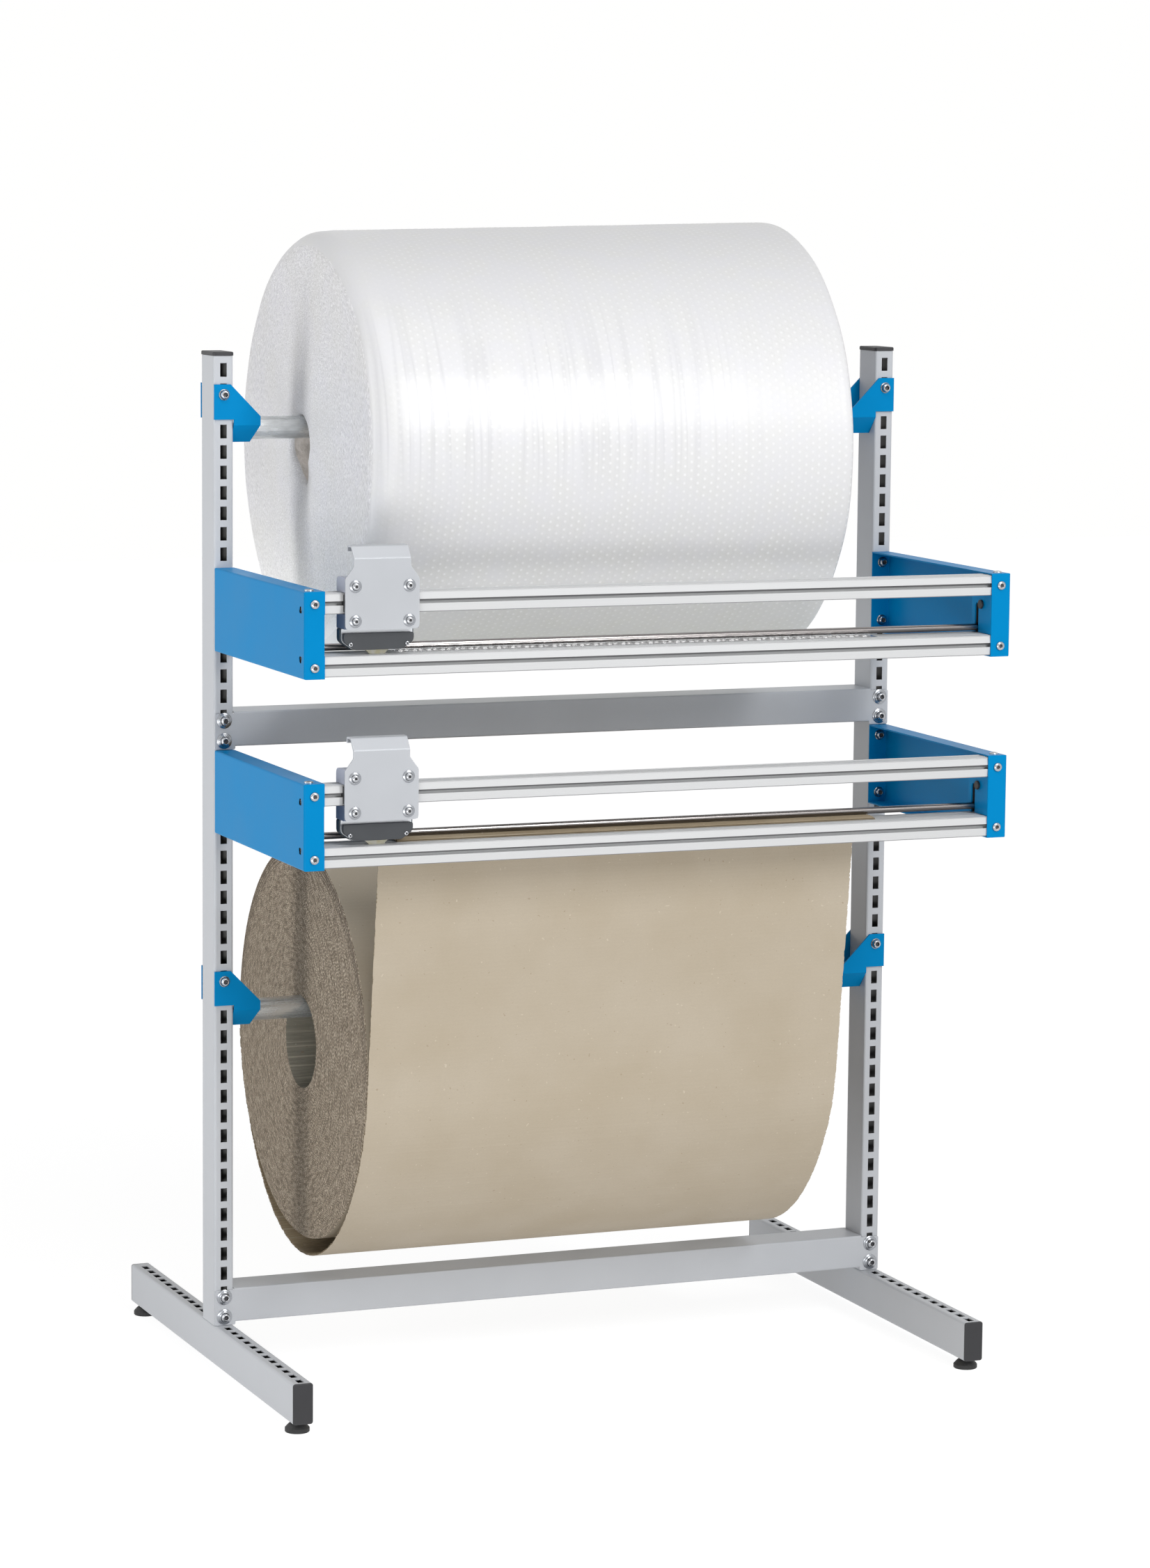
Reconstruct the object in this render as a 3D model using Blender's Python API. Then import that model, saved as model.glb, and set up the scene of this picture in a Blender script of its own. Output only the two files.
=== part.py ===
"""Floor stand that carries two rolls of packing material, each with its own cutting unit.

Two slotted posts on foot rails are tied by two crossbars. Each roll hangs on a steel tube
in a pair of saddle brackets. Its sheet runs forward over a base profile, under a loose
hold-down rod, and is cut by a carriage that slides along a guide profile.

All places are written in the stand's own frame: X to the right of mid-width, Y to the back
from the front of the posts, Z up from the top of the foot rails. The empty named stand
puts that frame on the floor, centred under the whole object. Lengths are in metres.
"""

import math

import bmesh
import bpy
from mathutils import Matrix, Vector

# Whole stand
STAND_WIDTH = 1.100
CLEARANCE = 0.0003
OVERRUN = 0.002
CORNER_STEPS = 3
ROUND_STEPS = 24
ROLL_STEPS = 72

# Slotted steel profile of the posts and the foot rails
TUBE_WIDTH = 0.030
TUBE_DEPTH = 0.060
TUBE_WALL = 0.002
TUBE_CORNER = 0.0035
SLOT_PITCH = 0.030
SLOT_WIDTH = 0.010
SLOT_LENGTH = 0.020
BOLT_DROP = 0.006

# Posts
POST_LENGTH = 1.4500
POST_FIRST_SLOT = 0.0195
POST_CAP_PLATE = 0.0055
POST_CAP_RIM = 0.001
CAP_PLUG_DEPTH = 0.012
CAP_EDGE = 0.0012

# Foot rails
FOOT_FRONT = 0.366
FOOT_BACK = 0.428
FOOT_LAST_SLOT = 0.0282
FOOT_CAP_PLATE = 0.003

# Levelling feet
LEVELLER_DIAMETER = 0.036
LEVELLER_HEIGHT = 0.016
LEVELLER_RIM = 0.006
LEVELLER_EDGE = 0.001
LEVELLER_DOME = 0.0115
LEVELLER_DOME_DIAMETER = 0.026
LEVELLER_NECK_DIAMETER = 0.015
LEVELLER_STEM_DIAMETER = 0.010
LEVELLER_STEM_RISE = 0.022
LEVELLER_INSET = 0.027

# Crossbars
CROSSBAR_SHEET = 0.002
CROSSBAR_HEIGHT = 0.0515
CROSSBAR_BEND = 0.0025
CROSSBAR_TAB_INSET = 0.001
CROSSBAR_TAB_DROP = 0.0045
CROSSBAR_BOLT_INSET = 0.0129
MIDDLE_CROSSBAR_ROW = 30
BOTTOM_CROSSBAR_ROW = 1

# Saddle brackets, with heights from their bolt
BRACKET_SHEET = 0.003
UPPER_BRACKET_ROW = 46
LOWER_BRACKET_ROW = 17
BRACKET_TOP = 0.015
BRACKET_NOTCH = 0.0365
BRACKET_SHOULDER = 0.032
BRACKET_BEND = 0.045
BRACKET_BOTTOM = 0.07065
BRACKET_TOP_REACH = 0.025
BRACKET_REACH = 0.071
BRACKET_TAPER = 0.010
BRACKET_FLOOR_WIDTH = 0.020

# Roll tubes
PIPE_DIAMETER = 0.0337
PIPE_WALL = 0.0026
PIPE_END_GAP = 0.001

# Bubble roll and its sheet, with gaps from the brackets
BUBBLE_GAP_LEFT = 0.079
BUBBLE_GAP_RIGHT = 0.134
BUBBLE_RADIUS_LEFT = 0.316
BUBBLE_RADIUS_RIGHT = 0.331
BUBBLE_CORE_RADIUS = 0.044
BUBBLE_SOFT_EDGE = 0.024
BUBBLE_FIRM_EDGE = 0.007
BUBBLE_SHEET = 0.002
BUBBLE_LOOSE = 0.001

# Cardboard roll and its sheet, with gaps from the brackets
CARD_GAP_LEFT = 0.075
CARD_GAP_RIGHT = 0.133
CARD_RADIUS = 0.2965
CARD_CORE_RADIUS = 0.071
CARD_EDGE = 0.0015
CARD_SHEET = 0.003
CARD_SAG = 0.024
CARD_LIFT = 0.0015
CARD_BEND_RADIUS = 0.034
CARD_BEND_GAP = 0.0038

# Angles of the sheets where they lie on the rolls
SHEET_STEP = math.radians(3.0)
BUBBLE_HUG = math.radians(15.0)
CARD_START = math.radians(6.0)
CARD_SAG_START = math.radians(25.0)

# Cutting units
UPPER_UNIT_ROW = 34
LOWER_UNIT_ROW = 25
PANEL_BOLT_HEIGHT = 0.0168
PANEL_INSET = 0.0005
PANEL_SHEET = 0.002
PANEL_HEIGHT = 0.123
PANEL_DEPTH = 0.410
PANEL_FLANGE = 0.0305
PANEL_BEND = 0.0025
RETURN_DEPTH = 0.064
ROD_SLOT_WIDTH = 0.011
ROD_SLOT_RISE = 0.044
ROD_SETBACK = 0.048
LATCH_HOLE_WIDE = 0.0125
LATCH_HOLE_NARROW = 0.0065
LATCH_HOLE_RISE = 0.0095
LATCH_HOLE_CORNER = 0.0025
LATCH_HOLE_SETBACK = 0.0165
LATCH_HOLE_HEIGHT_LOW = 0.0268
LATCH_HOLE_HEIGHT_HIGH = 0.0968

# Aluminium profiles, whose grooves run along the middle of each cell
CELL = 0.030
BASE_DEPTH = 0.060
CELL_CORNER = 0.001
GROOVE_MOUTH = 0.006
GROOVE_LIP = 0.002
GROOVE_CHAMBER = 0.0125
GROOVE_STRAIGHT = 0.0025
GROOVE_BASE = 0.006
GROOVE_DEPTH = 0.0085
GROOVE_NUT_REACH = 0.010

# Hold-down rods and their magnet buttons
ROD_DIAMETER = 0.010
ROD_END_GAP = 0.0065
ROD_EDGE = 0.0006
MAGNET_DIAMETER = 0.0135
MAGNET_LENGTH = 0.0035
MAGNET_EDGE = 0.0006
MAGNET_SETBACK = 0.032
MAGNET_RISE = 0.0428

# Carriages
CARRIAGE_INSET = 0.1135
PLATE_PROUD = 0.007
PLATE_SHEET = 0.003
PLATE_WIDTH = 0.110
PLATE_CORNER = 0.006
PLATE_DROP = 0.0221
PLATE_SHOULDER = 0.0191
PLATE_NECK = 0.0366
NECK_WIDTH = 0.084
HANDLE_BEND = 0.0476
HANDLE_RISE = 0.0176
HANDLE_SETBACK = 0.0135
HANDLE_CURL = 0.0175
HANDLE_LIP = 0.009
HANDLE_RADIUS = 0.006
HANDLE_CREST_RADIUS = 0.0045
HANDLE_CURL_RADIUS = 0.0075
BLOCK_HEIGHT = 0.0211
BLOCK_SETBACK = 0.0347
BLOCK_CORNER = 0.008
BLOCK_EDGE = 0.001
GLIDE_WIDTH = 0.1104
GLIDE_HEIGHT = 0.024
TONGUE_DEPTH = 0.0055
TONGUE_PLAY = 0.0004
COVER_WIDTH = 0.104
COVER_HEIGHT = 0.0235
COVER_DEPTH = 0.0085
HOUSING_WIDTH = 0.110
HOUSING_DEPTH = 0.0115
HOUSING_CHAMFER = 0.017
HOUSING_CHAMFER_RISE = 0.0115
HOUSING_CORNER = 0.009
HOUSING_EDGE = 0.0025
HOUSING_FLOAT = 0.0065
CARRIER_SHEET = 0.0016
CARRIER_WIDTH = 0.106
BLADE_SHEET = 0.0008
BLADE_WIDTH = 0.012
BLADE_POINT = 0.004
BLADE_SLOT_PLAY = 0.0003
GUARD_SHEET = 0.004
GUARD_WIDTH = 0.036
GUARD_TIP = 0.016
GUARD_DIP = 0.0027
GUARD_FLOOR = 0.0025

# Places worked out from the sizes above
HALF_WIDTH = STAND_WIDTH / 2
POST_INNER = HALF_WIDTH - TUBE_WIDTH
POST_MIDDLE = HALF_WIDTH - TUBE_WIDTH / 2
FOOT_TOP = LEVELLER_HEIGHT + TUBE_DEPTH
PIPE_RADIUS = PIPE_DIAMETER / 2
PIPE_BACK = TUBE_DEPTH / 2
ROD_RADIUS = ROD_DIAMETER / 2
PANEL_OUTER = HALF_WIDTH - PANEL_INSET
PANEL_INNER = PANEL_OUTER - PANEL_FLANGE
PANEL_WEB_INNER = PANEL_OUTER - PANEL_SHEET
PROFILE_FRONT = -(PANEL_DEPTH - PANEL_SHEET - CLEARANCE)
PLATE_FRONT = -(PANEL_DEPTH + PLATE_PROUD)
PLATE_BACK = PLATE_FRONT + PLATE_SHEET
BASE_BACK = PROFILE_FRONT + BASE_DEPTH
CUT_LINE = PROFILE_FRONT + CELL / 2
ROD_LINE = ROD_SETBACK - PANEL_DEPTH
BRACKET_INNER = HALF_WIDTH - BRACKET_REACH
BUBBLE_LEFT = BUBBLE_GAP_LEFT - BRACKET_INNER
BUBBLE_RIGHT = BRACKET_INNER - BUBBLE_GAP_RIGHT
CARD_LEFT = CARD_GAP_LEFT - BRACKET_INNER
CARD_RIGHT = BRACKET_INNER - CARD_GAP_RIGHT
STAND_SHIFT = -(PLATE_FRONT + FOOT_BACK + FOOT_CAP_PLATE) / 2


def slot_row(row):
    """Height of one slot's centre on the posts, counted from the lowest."""
    return POST_FIRST_SLOT + row * SLOT_PITCH


def pipe_height(row):
    """Height of the tube that lies in the brackets of this slot row."""
    floor = slot_row(row) - BOLT_DROP - BRACKET_BOTTOM
    return floor + BRACKET_SHEET + CLEARANCE + PIPE_RADIUS


def roll_height(row, core_radius):
    """Height of a roll's axis when the top of its core hangs on the tube."""
    return pipe_height(row) + PIPE_RADIUS + CLEARANCE - core_radius


def panel_bottom(row):
    """Height of the lower edge of a cutting unit's side panels."""
    return slot_row(row) - BOLT_DROP - PANEL_BOLT_HEIGHT


def deck_height(row):
    """Height of the top of a cutting unit's base profile."""
    return panel_bottom(row) + PANEL_SHEET + CLEARANCE + CELL


def guide_top(row):
    """Height of the top of a cutting unit's guide profile."""
    return panel_bottom(row) + PANEL_HEIGHT - PANEL_SHEET - CLEARANCE


def clear_scene():
    """Empty the scene, so that the script gives the same result each time."""
    for leftover in list(bpy.data.objects):
        bpy.data.objects.remove(leftover, do_unlink=True)


def surface(name, colour, roughness, metallic=0.0, alpha=1.0):
    """A plain material with the colour and gloss of one finish."""
    material = bpy.data.materials.new(name)
    material.use_nodes = True
    shader = material.node_tree.nodes["Principled BSDF"]
    shader.inputs["Base Color"].default_value = (*colour, 1.0)
    shader.inputs["Roughness"].default_value = roughness
    shader.inputs["Metallic"].default_value = metallic
    shader.inputs["Alpha"].default_value = alpha
    return material


def between(start, end, share):
    """The value at this share of the way from start to end."""
    return start + (end - start) * share


def arc(centre, radius, start, end, steps):
    """Points of a round arc, both ends included."""
    angles = [between(start, end, step / steps) for step in range(steps + 1)]
    return [(centre[0] + radius * math.cos(a), centre[1] + radius * math.sin(a)) for a in angles]


def rounded(corners, radii, steps=CORNER_STEPS):
    """An outline whose corners are arcs; one radius for all of them, or one for each."""
    if not isinstance(radii, (list, tuple)):
        radii = [radii] * len(corners)
    outline = []
    for index, corner in enumerate(corners):
        point = Vector(corner)
        before = Vector(corners[index - 1]) - point
        after = Vector(corners[(index + 1) % len(corners)]) - point
        half = before.angle(after) / 2
        reach = min(radii[index] / math.tan(half), before.length * 0.49, after.length * 0.49)
        if reach <= 0:
            outline.append(tuple(point))
            continue
        radius = reach * math.tan(half)
        centre = point + (before.normalized() + after.normalized()).normalized() * radius / math.sin(half)
        first = point + before.normalized() * reach - centre
        last = point + after.normalized() * reach - centre
        start = math.atan2(first.y, first.x)
        turn = math.atan2(first.x * last.y - first.y * last.x, first.dot(last))
        outline.extend(arc(centre, radius, start, start + turn, steps))
    return outline


def rectangle(low_a, low_b, high_a, high_b):
    """The corners of an upright rectangle."""
    return [(low_a, low_b), (high_a, low_b), (high_a, high_b), (low_a, high_b)]


def mirrored(outline, side):
    """The outline as it is for side 1, or reflected in X for side -1."""
    return [(a * side, b) for a, b in outline]


def placed(axis, a, b, along):
    """A point of an outline drawn across the axis, at this place along it."""
    return {"X": (along, a, b), "Y": (a, along, b), "Z": (a, b, along)}[axis]


def piece(name, bm, material, origin=(0.0, 0.0, 0.0), smooth_angle=math.radians(30.0)):
    """Turn a bmesh into a named object under the stand, with its origin where it turns or slides."""
    bmesh.ops.recalc_face_normals(bm, faces=bm.faces[:])
    mesh = bpy.data.meshes.new(name)
    bm.to_mesh(mesh)
    bm.free()
    mesh.transform(Matrix.Translation(-Vector(origin)))
    mesh.materials.append(material)
    mesh.shade_smooth()
    mesh.set_sharp_from_angle(angle=smooth_angle)
    made = bpy.data.objects.new(name, mesh)
    bpy.context.scene.collection.objects.link(made)
    made.location = origin
    made.parent = bpy.data.objects["stand"]
    return made


def loft(low_outline, high_outline, axis, low, high):
    """A solid between two outlines with as many points each."""
    bm = bmesh.new()
    low_ring = [bm.verts.new(placed(axis, a, b, low)) for a, b in low_outline]
    high_ring = [bm.verts.new(placed(axis, a, b, high)) for a, b in high_outline]
    count = len(low_ring)
    for i in range(count):
        j = (i + 1) % count
        bm.faces.new((low_ring[i], low_ring[j], high_ring[j], high_ring[i]))
    bm.faces.new(low_ring)
    bm.faces.new(high_ring)
    return bm


def prism(outline, axis, low, high):
    """A solid with one outline, from low to high along the axis."""
    return loft(outline, outline, axis, low, high)


def block(low, high):
    """A plain box between two corners."""
    return prism(rectangle(low[0], low[1], high[0], high[1]), "Z", low[2], high[2])


def sheet(low_path, high_path, thickness, low, high):
    """A bent sheet from low to high along X, with its thickness to the left of its path."""
    bm = bmesh.new()
    rows = []
    for path, along in ((low_path, low), (high_path, high)):
        rows.append([bm.verts.new(placed("X", a, b, along)) for a, b in path])
        rows.append([bm.verts.new(placed("X", a, b, along)) for a, b in beside(path, thickness)])
    near, near_back, far, far_back = rows
    for i in range(len(near) - 1):
        bm.faces.new((near[i], near[i + 1], far[i + 1], far[i]))
        bm.faces.new((near_back[i], far_back[i], far_back[i + 1], near_back[i + 1]))
        bm.faces.new((near[i], near_back[i], near_back[i + 1], near[i + 1]))
        bm.faces.new((far[i], far[i + 1], far_back[i + 1], far_back[i]))
    bm.faces.new((near[0], far[0], far_back[0], near_back[0]))
    bm.faces.new((near[-1], near_back[-1], far_back[-1], far[-1]))
    return bm


def beside(path, distance):
    """The path moved to its left by a distance, with mitred corners."""
    moved = []
    for i, point in enumerate(path):
        ways = []
        if i > 0:
            ways.append((Vector(point) - Vector(path[i - 1])).normalized())
        if i < len(path) - 1:
            ways.append((Vector(path[i + 1]) - Vector(point)).normalized())
        normals = [Vector((-way.y, way.x)) for way in ways]
        mean = sum(normals, Vector((0.0, 0.0))).normalized()
        moved.append(tuple(Vector(point) + mean * distance / mean.dot(normals[0])))
    return moved


def folded(path, thickness):
    """The closed outline of a bent strip whose thickness lies to the left of its path."""
    return list(path) + beside(path, thickness)[::-1]


def turned(profile, axis, centre, steps, closed):
    """A solid of revolution. The profile holds (place along the axis, radius)."""
    bm = bmesh.new()
    direction = Vector(placed(axis, 0.0, 0.0, 1.0))
    across = Vector(placed(axis, 1.0, 0.0, 0.0))
    verts = [bm.verts.new(Vector(centre) + direction * along + across * radius) for along, radius in profile]
    edges = [bm.edges.new(pair) for pair in zip(verts, verts[1:])]
    if closed:
        edges.append(bm.edges.new((verts[-1], verts[0])))
    bmesh.ops.spin(
        bm, geom=verts + edges, cent=centre, axis=direction, angle=math.tau, steps=steps, use_merge=True
    )
    bmesh.ops.remove_doubles(bm, verts=bm.verts[:], dist=CLEARANCE / 100)
    return bm


def pin(axis, centre, radius, low, high, edge, steps=ROUND_STEPS):
    """A round bar along the axis with a small chamfer at both ends."""
    profile = [(low, 0.0), (low, radius - edge), (low + edge, radius)]
    profile += [(high - edge, radius), (high, radius - edge), (high, 0.0)]
    return turned(profile, axis, centre, steps, closed=False)


def shaped(target, tools, operation="DIFFERENCE"):
    """Cut the tools out of the target, or join them to it, one after another."""
    for number, tool in enumerate(tools):
        cutter = piece(f"{target.name}_tool_{number}", tool, target.data.materials[0])
        cutter.hide_render = True
        cutter.display_type = "WIRE"
        step = target.modifiers.new("shape", "BOOLEAN")
        step.solver = "EXACT"
        step.operation = operation
        step.object = cutter
        graph = bpy.context.evaluated_depsgraph_get()
        result = bpy.data.meshes.new_from_object(target.evaluated_get(graph))
        old = target.data
        target.modifiers.clear()
        target.data = result
        result.name = target.name
        bpy.data.meshes.remove(old)
        bpy.data.objects.remove(cutter, do_unlink=True)
    target.data.set_sharp_from_angle(angle=math.radians(30.0))
    return target


def joined(boxes):
    """Several boxes that don't touch, as one cutting tool."""
    bm = bmesh.new()
    for low, high in boxes:
        spots = [(x, y, z) for x in (low[0], high[0]) for y in (low[1], high[1]) for z in (low[2], high[2])]
        corners = [bm.verts.new(spot) for spot in spots]
        sides = ((0, 1, 3, 2), (4, 6, 7, 5), (0, 4, 5, 1), (2, 3, 7, 6), (0, 2, 6, 4), (1, 5, 7, 3))
        for a, b, c, d in sides:
            bm.faces.new((corners[a], corners[b], corners[c], corners[d]))
    return bm


def make_post(name, side, paint):
    """A hollow post with a row of slots in its front and in its back."""
    middle = side * POST_MIDDLE
    half = TUBE_WIDTH / 2
    outer = rounded(rectangle(middle - half, 0.0, middle + half, TUBE_DEPTH), TUBE_CORNER)
    bore_half = half - TUBE_WALL
    opening = rectangle(middle - bore_half, TUBE_WALL, middle + bore_half, TUBE_DEPTH - TUBE_WALL)
    bore = rounded(opening, TUBE_CORNER - TUBE_WALL)
    post = piece(name, prism(outer, "Z", CLEARANCE, POST_LENGTH), paint)
    rows = int((POST_LENGTH - POST_FIRST_SLOT - SLOT_LENGTH / 2) / SLOT_PITCH) + 1
    slots = []
    for row in range(rows):
        low = slot_row(row) - SLOT_LENGTH / 2
        for front in (0.0, TUBE_DEPTH - TUBE_WALL):
            near = (middle - SLOT_WIDTH / 2, front - OVERRUN, low)
            far = (middle + SLOT_WIDTH / 2, front + TUBE_WALL + OVERRUN, low + SLOT_LENGTH)
            slots.append((near, far))
    tools = [prism(bore, "Z", -OVERRUN, POST_LENGTH + OVERRUN), joined(slots)]
    return shaped(post, tools)


def make_foot(name, side, paint):
    """A hollow foot rail with slots in its top and a hole for each levelling foot."""
    middle = side * POST_MIDDLE
    half = TUBE_WIDTH / 2
    outer = rounded(rectangle(middle - half, -TUBE_DEPTH, middle + half, 0.0), TUBE_CORNER)
    bore_half = half - TUBE_WALL
    opening = rectangle(middle - bore_half, TUBE_WALL - TUBE_DEPTH, middle + bore_half, -TUBE_WALL)
    bore = rounded(opening, TUBE_CORNER - TUBE_WALL)
    foot = piece(name, prism(outer, "Y", -FOOT_FRONT, FOOT_BACK), paint)
    count = int((FOOT_FRONT + FOOT_BACK - FOOT_LAST_SLOT - SLOT_LENGTH / 2) / SLOT_PITCH) + 1
    slots = []
    for number in range(count):
        slot_middle = FOOT_BACK - FOOT_LAST_SLOT - number * SLOT_PITCH
        near = (middle - SLOT_WIDTH / 2, slot_middle - SLOT_LENGTH / 2, -TUBE_WALL - OVERRUN)
        far = (middle + SLOT_WIDTH / 2, slot_middle + SLOT_LENGTH / 2, OVERRUN)
        slots.append((near, far))
    tools = [prism(bore, "Y", -FOOT_FRONT - OVERRUN, FOOT_BACK + OVERRUN), joined(slots)]
    hole = LEVELLER_STEM_DIAMETER / 2 + CLEARANCE
    for place in leveller_places():
        span = (-TUBE_DEPTH - OVERRUN, OVERRUN * 2 - TUBE_DEPTH)
        tools.append(pin("Z", (middle, place, 0.0), hole, *span, 0.0))
    return shaped(foot, tools)


def leveller_places():
    """Where the levelling feet stand along a foot rail, front one first."""
    return (
        LEVELLER_INSET - FOOT_FRONT - FOOT_CAP_PLATE,
        FOOT_BACK + FOOT_CAP_PLATE - LEVELLER_INSET,
    )


def make_post_cap(name, side, plastic):
    """A cap with a thin rim around the post and a plug inside it."""
    middle = side * POST_MIDDLE
    half = TUBE_WIDTH / 2 + POST_CAP_RIM
    low = POST_LENGTH + CLEARANCE
    outline = rectangle(middle - half, -POST_CAP_RIM, middle + half, TUBE_DEPTH + POST_CAP_RIM)
    front, back = CAP_EDGE - POST_CAP_RIM, TUBE_DEPTH + POST_CAP_RIM - CAP_EDGE
    inner = rectangle(middle - half + CAP_EDGE, front, middle + half - CAP_EDGE, back)
    corner = TUBE_CORNER + POST_CAP_RIM
    body = piece(name, prism(rounded(outline, corner), "Z", low, low + POST_CAP_PLATE - CAP_EDGE), plastic)
    lid = loft(
        rounded(outline, corner), rounded(inner, corner - CAP_EDGE), "Z",
        low + POST_CAP_PLATE - CAP_EDGE, low + POST_CAP_PLATE,
    )
    return shaped(body, [lid, plug_solid("Z", middle, 0.0, low, -1)], "UNION")


def plug_solid(axis, middle, near, face, way):
    """The part of a cap that sits inside the hollow profile, from its plate inwards."""
    gap = TUBE_WALL + CLEARANCE
    half = TUBE_WIDTH / 2 - gap
    outline = rounded(
        rectangle(middle - half, near + gap, middle + half, near + TUBE_DEPTH - gap), TUBE_CORNER - TUBE_WALL
    )
    ends = sorted((face - way * CLEARANCE, face + way * CAP_PLUG_DEPTH))
    return prism(outline, axis, *ends)


def make_foot_cap(name, side, way, plastic):
    """The flat cap on one end of a foot rail; way is -1 at the front and 1 at the back."""
    middle = side * POST_MIDDLE
    half = TUBE_WIDTH / 2
    face = way * CLEARANCE + (FOOT_BACK if way > 0 else -FOOT_FRONT)
    outline = rectangle(middle - half, -TUBE_DEPTH, middle + half, 0.0)
    inner = rectangle(middle - half + CAP_EDGE, CAP_EDGE - TUBE_DEPTH, middle + half - CAP_EDGE, -CAP_EDGE)
    shoulder = face + way * (FOOT_CAP_PLATE - CLEARANCE - CAP_EDGE)
    outer = face + way * (FOOT_CAP_PLATE - CLEARANCE)
    body = piece(name, prism(rounded(outline, TUBE_CORNER), "Y", *sorted((face, shoulder))), plastic)
    ends = [(outline, TUBE_CORNER, shoulder), (inner, TUBE_CORNER - CAP_EDGE, outer)]
    ends.sort(key=lambda end: end[2])
    lid = loft(rounded(ends[0][0], ends[0][1]), rounded(ends[1][0], ends[1][1]), "Y", ends[0][2], ends[1][2])
    return shaped(body, [lid, plug_solid("Y", middle, -TUBE_DEPTH, face, -way)], "UNION")


def make_leveller(name, side, place, rubber):
    """A round foot on a stem that screws into the rail."""
    middle = side * POST_MIDDLE
    floor = -FOOT_TOP
    radius = LEVELLER_DIAMETER / 2
    neck = LEVELLER_NECK_DIAMETER / 2
    stem = LEVELLER_STEM_DIAMETER / 2
    profile = [
        (floor, 0.0),
        (floor, radius - LEVELLER_EDGE),
        (floor + LEVELLER_EDGE, radius),
        (floor + LEVELLER_RIM, radius),
        (floor + LEVELLER_DOME, LEVELLER_DOME_DIAMETER / 2),
        (-TUBE_DEPTH - CLEARANCE, neck),
        (-TUBE_DEPTH - CLEARANCE, stem),
        (-TUBE_DEPTH + LEVELLER_STEM_RISE, stem),
        (-TUBE_DEPTH + LEVELLER_STEM_RISE, 0.0),
    ]
    solid = turned(profile, "Z", (middle, place, 0.0), ROUND_STEPS, closed=False)
    return piece(name, solid, rubber, origin=(middle, place, -TUBE_DEPTH))


def make_crossbar(name, row, paint):
    """A channel of bent sheet between the posts, with a tab over the front of each post."""
    top = slot_row(row) - BOLT_DROP + CROSSBAR_BOLT_INSET
    reach = POST_INNER - CLEARANCE
    front = -CLEARANCE - CROSSBAR_SHEET
    low = top - CROSSBAR_HEIGHT
    path = [(TUBE_DEPTH, top)]
    path += rounded([(TUBE_DEPTH, top), (front, top), (front, low), (TUBE_DEPTH, low)],
                    [0.0, CROSSBAR_BEND, CROSSBAR_BEND, 0.0])[1:-1]
    path += [(TUBE_DEPTH, low)]
    bar = piece(name, prism(folded(path, CROSSBAR_SHEET), "X", -reach, reach), paint)
    tab_outline = rectangle(
        CROSSBAR_TAB_INSET - HALF_WIDTH, low - CROSSBAR_TAB_DROP, CROSSBAR_SHEET - reach, top - CROSSBAR_BEND
    )
    outlines = [rounded(mirrored(tab_outline, side), CROSSBAR_BEND) for side in (1, -1)]
    tabs = [prism(outline, "Y", front, -CLEARANCE) for outline in outlines]
    return shaped(bar, tabs, "UNION")


def make_bracket(name, side, row, paint):
    """A saddle of bent sheet: ears on the front and back of the post, a trough for the tube."""
    bolt = slot_row(row) - BOLT_DROP
    top = bolt + BRACKET_TOP
    bend = bolt - BRACKET_BEND
    bottom = bolt - BRACKET_BOTTOM
    front = -CLEARANCE - BRACKET_SHEET
    back = TUBE_DEPTH + CLEARANCE + BRACKET_SHEET
    floor_front = PIPE_BACK - BRACKET_FLOOR_WIDTH / 2
    floor_back = PIPE_BACK + BRACKET_FLOOR_WIDTH / 2
    path = [(front, top), (front, bend), (floor_front, bottom)]
    path += [(floor_back, bottom), (back, bend), (back, top)]
    outer = HALF_WIDTH
    inner = BRACKET_INNER
    ends = sorted((side * outer, side * inner))
    saddle = piece(name, prism(folded(path, BRACKET_SHEET), "X", *ends), paint)
    under_post = rectangle(POST_INNER - CLEARANCE, bottom - OVERRUN, outer + OVERRUN, bolt - BRACKET_NOTCH)
    slope = [
        (outer - BRACKET_TOP_REACH, top + OVERRUN),
        (outer - BRACKET_TOP_REACH, top),
        (inner, bolt - BRACKET_SHOULDER),
        (inner, bend),
        (inner + BRACKET_TAPER, bottom - OVERRUN),
        (inner - OVERRUN, bottom - OVERRUN),
        (inner - OVERRUN, top + OVERRUN),
    ]
    spread = (front - OVERRUN, back + OVERRUN)
    tools = [prism(mirrored(outline, side), "Y", *spread) for outline in (under_post, slope)]
    return shaped(saddle, tools)


def make_pipe(name, row, steel):
    """The steel tube that a roll hangs on."""
    reach = POST_INNER - PIPE_END_GAP
    centre = (0.0, PIPE_BACK, pipe_height(row))
    bore = PIPE_RADIUS - PIPE_WALL
    profile = [(-reach, bore), (-reach, PIPE_RADIUS), (reach, PIPE_RADIUS), (reach, bore)]
    return piece(name, turned(profile, "X", centre, ROUND_STEPS, closed=True), steel, origin=centre)


def make_bubble_roll(name, film):
    """The soft roll: wider to the right, with a rounded left rim."""
    centre = (0.0, PIPE_BACK, roll_height(UPPER_BRACKET_ROW, BUBBLE_CORE_RADIUS))
    corners = [
        (BUBBLE_LEFT, BUBBLE_CORE_RADIUS),
        (BUBBLE_LEFT, BUBBLE_RADIUS_LEFT),
        (BUBBLE_RIGHT, BUBBLE_RADIUS_RIGHT),
        (BUBBLE_RIGHT, BUBBLE_CORE_RADIUS),
    ]
    profile = rounded(corners, [0.0, BUBBLE_SOFT_EDGE, BUBBLE_FIRM_EDGE, 0.0])
    return piece(name, turned(profile, "X", centre, ROLL_STEPS, closed=True), film, origin=centre)


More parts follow.
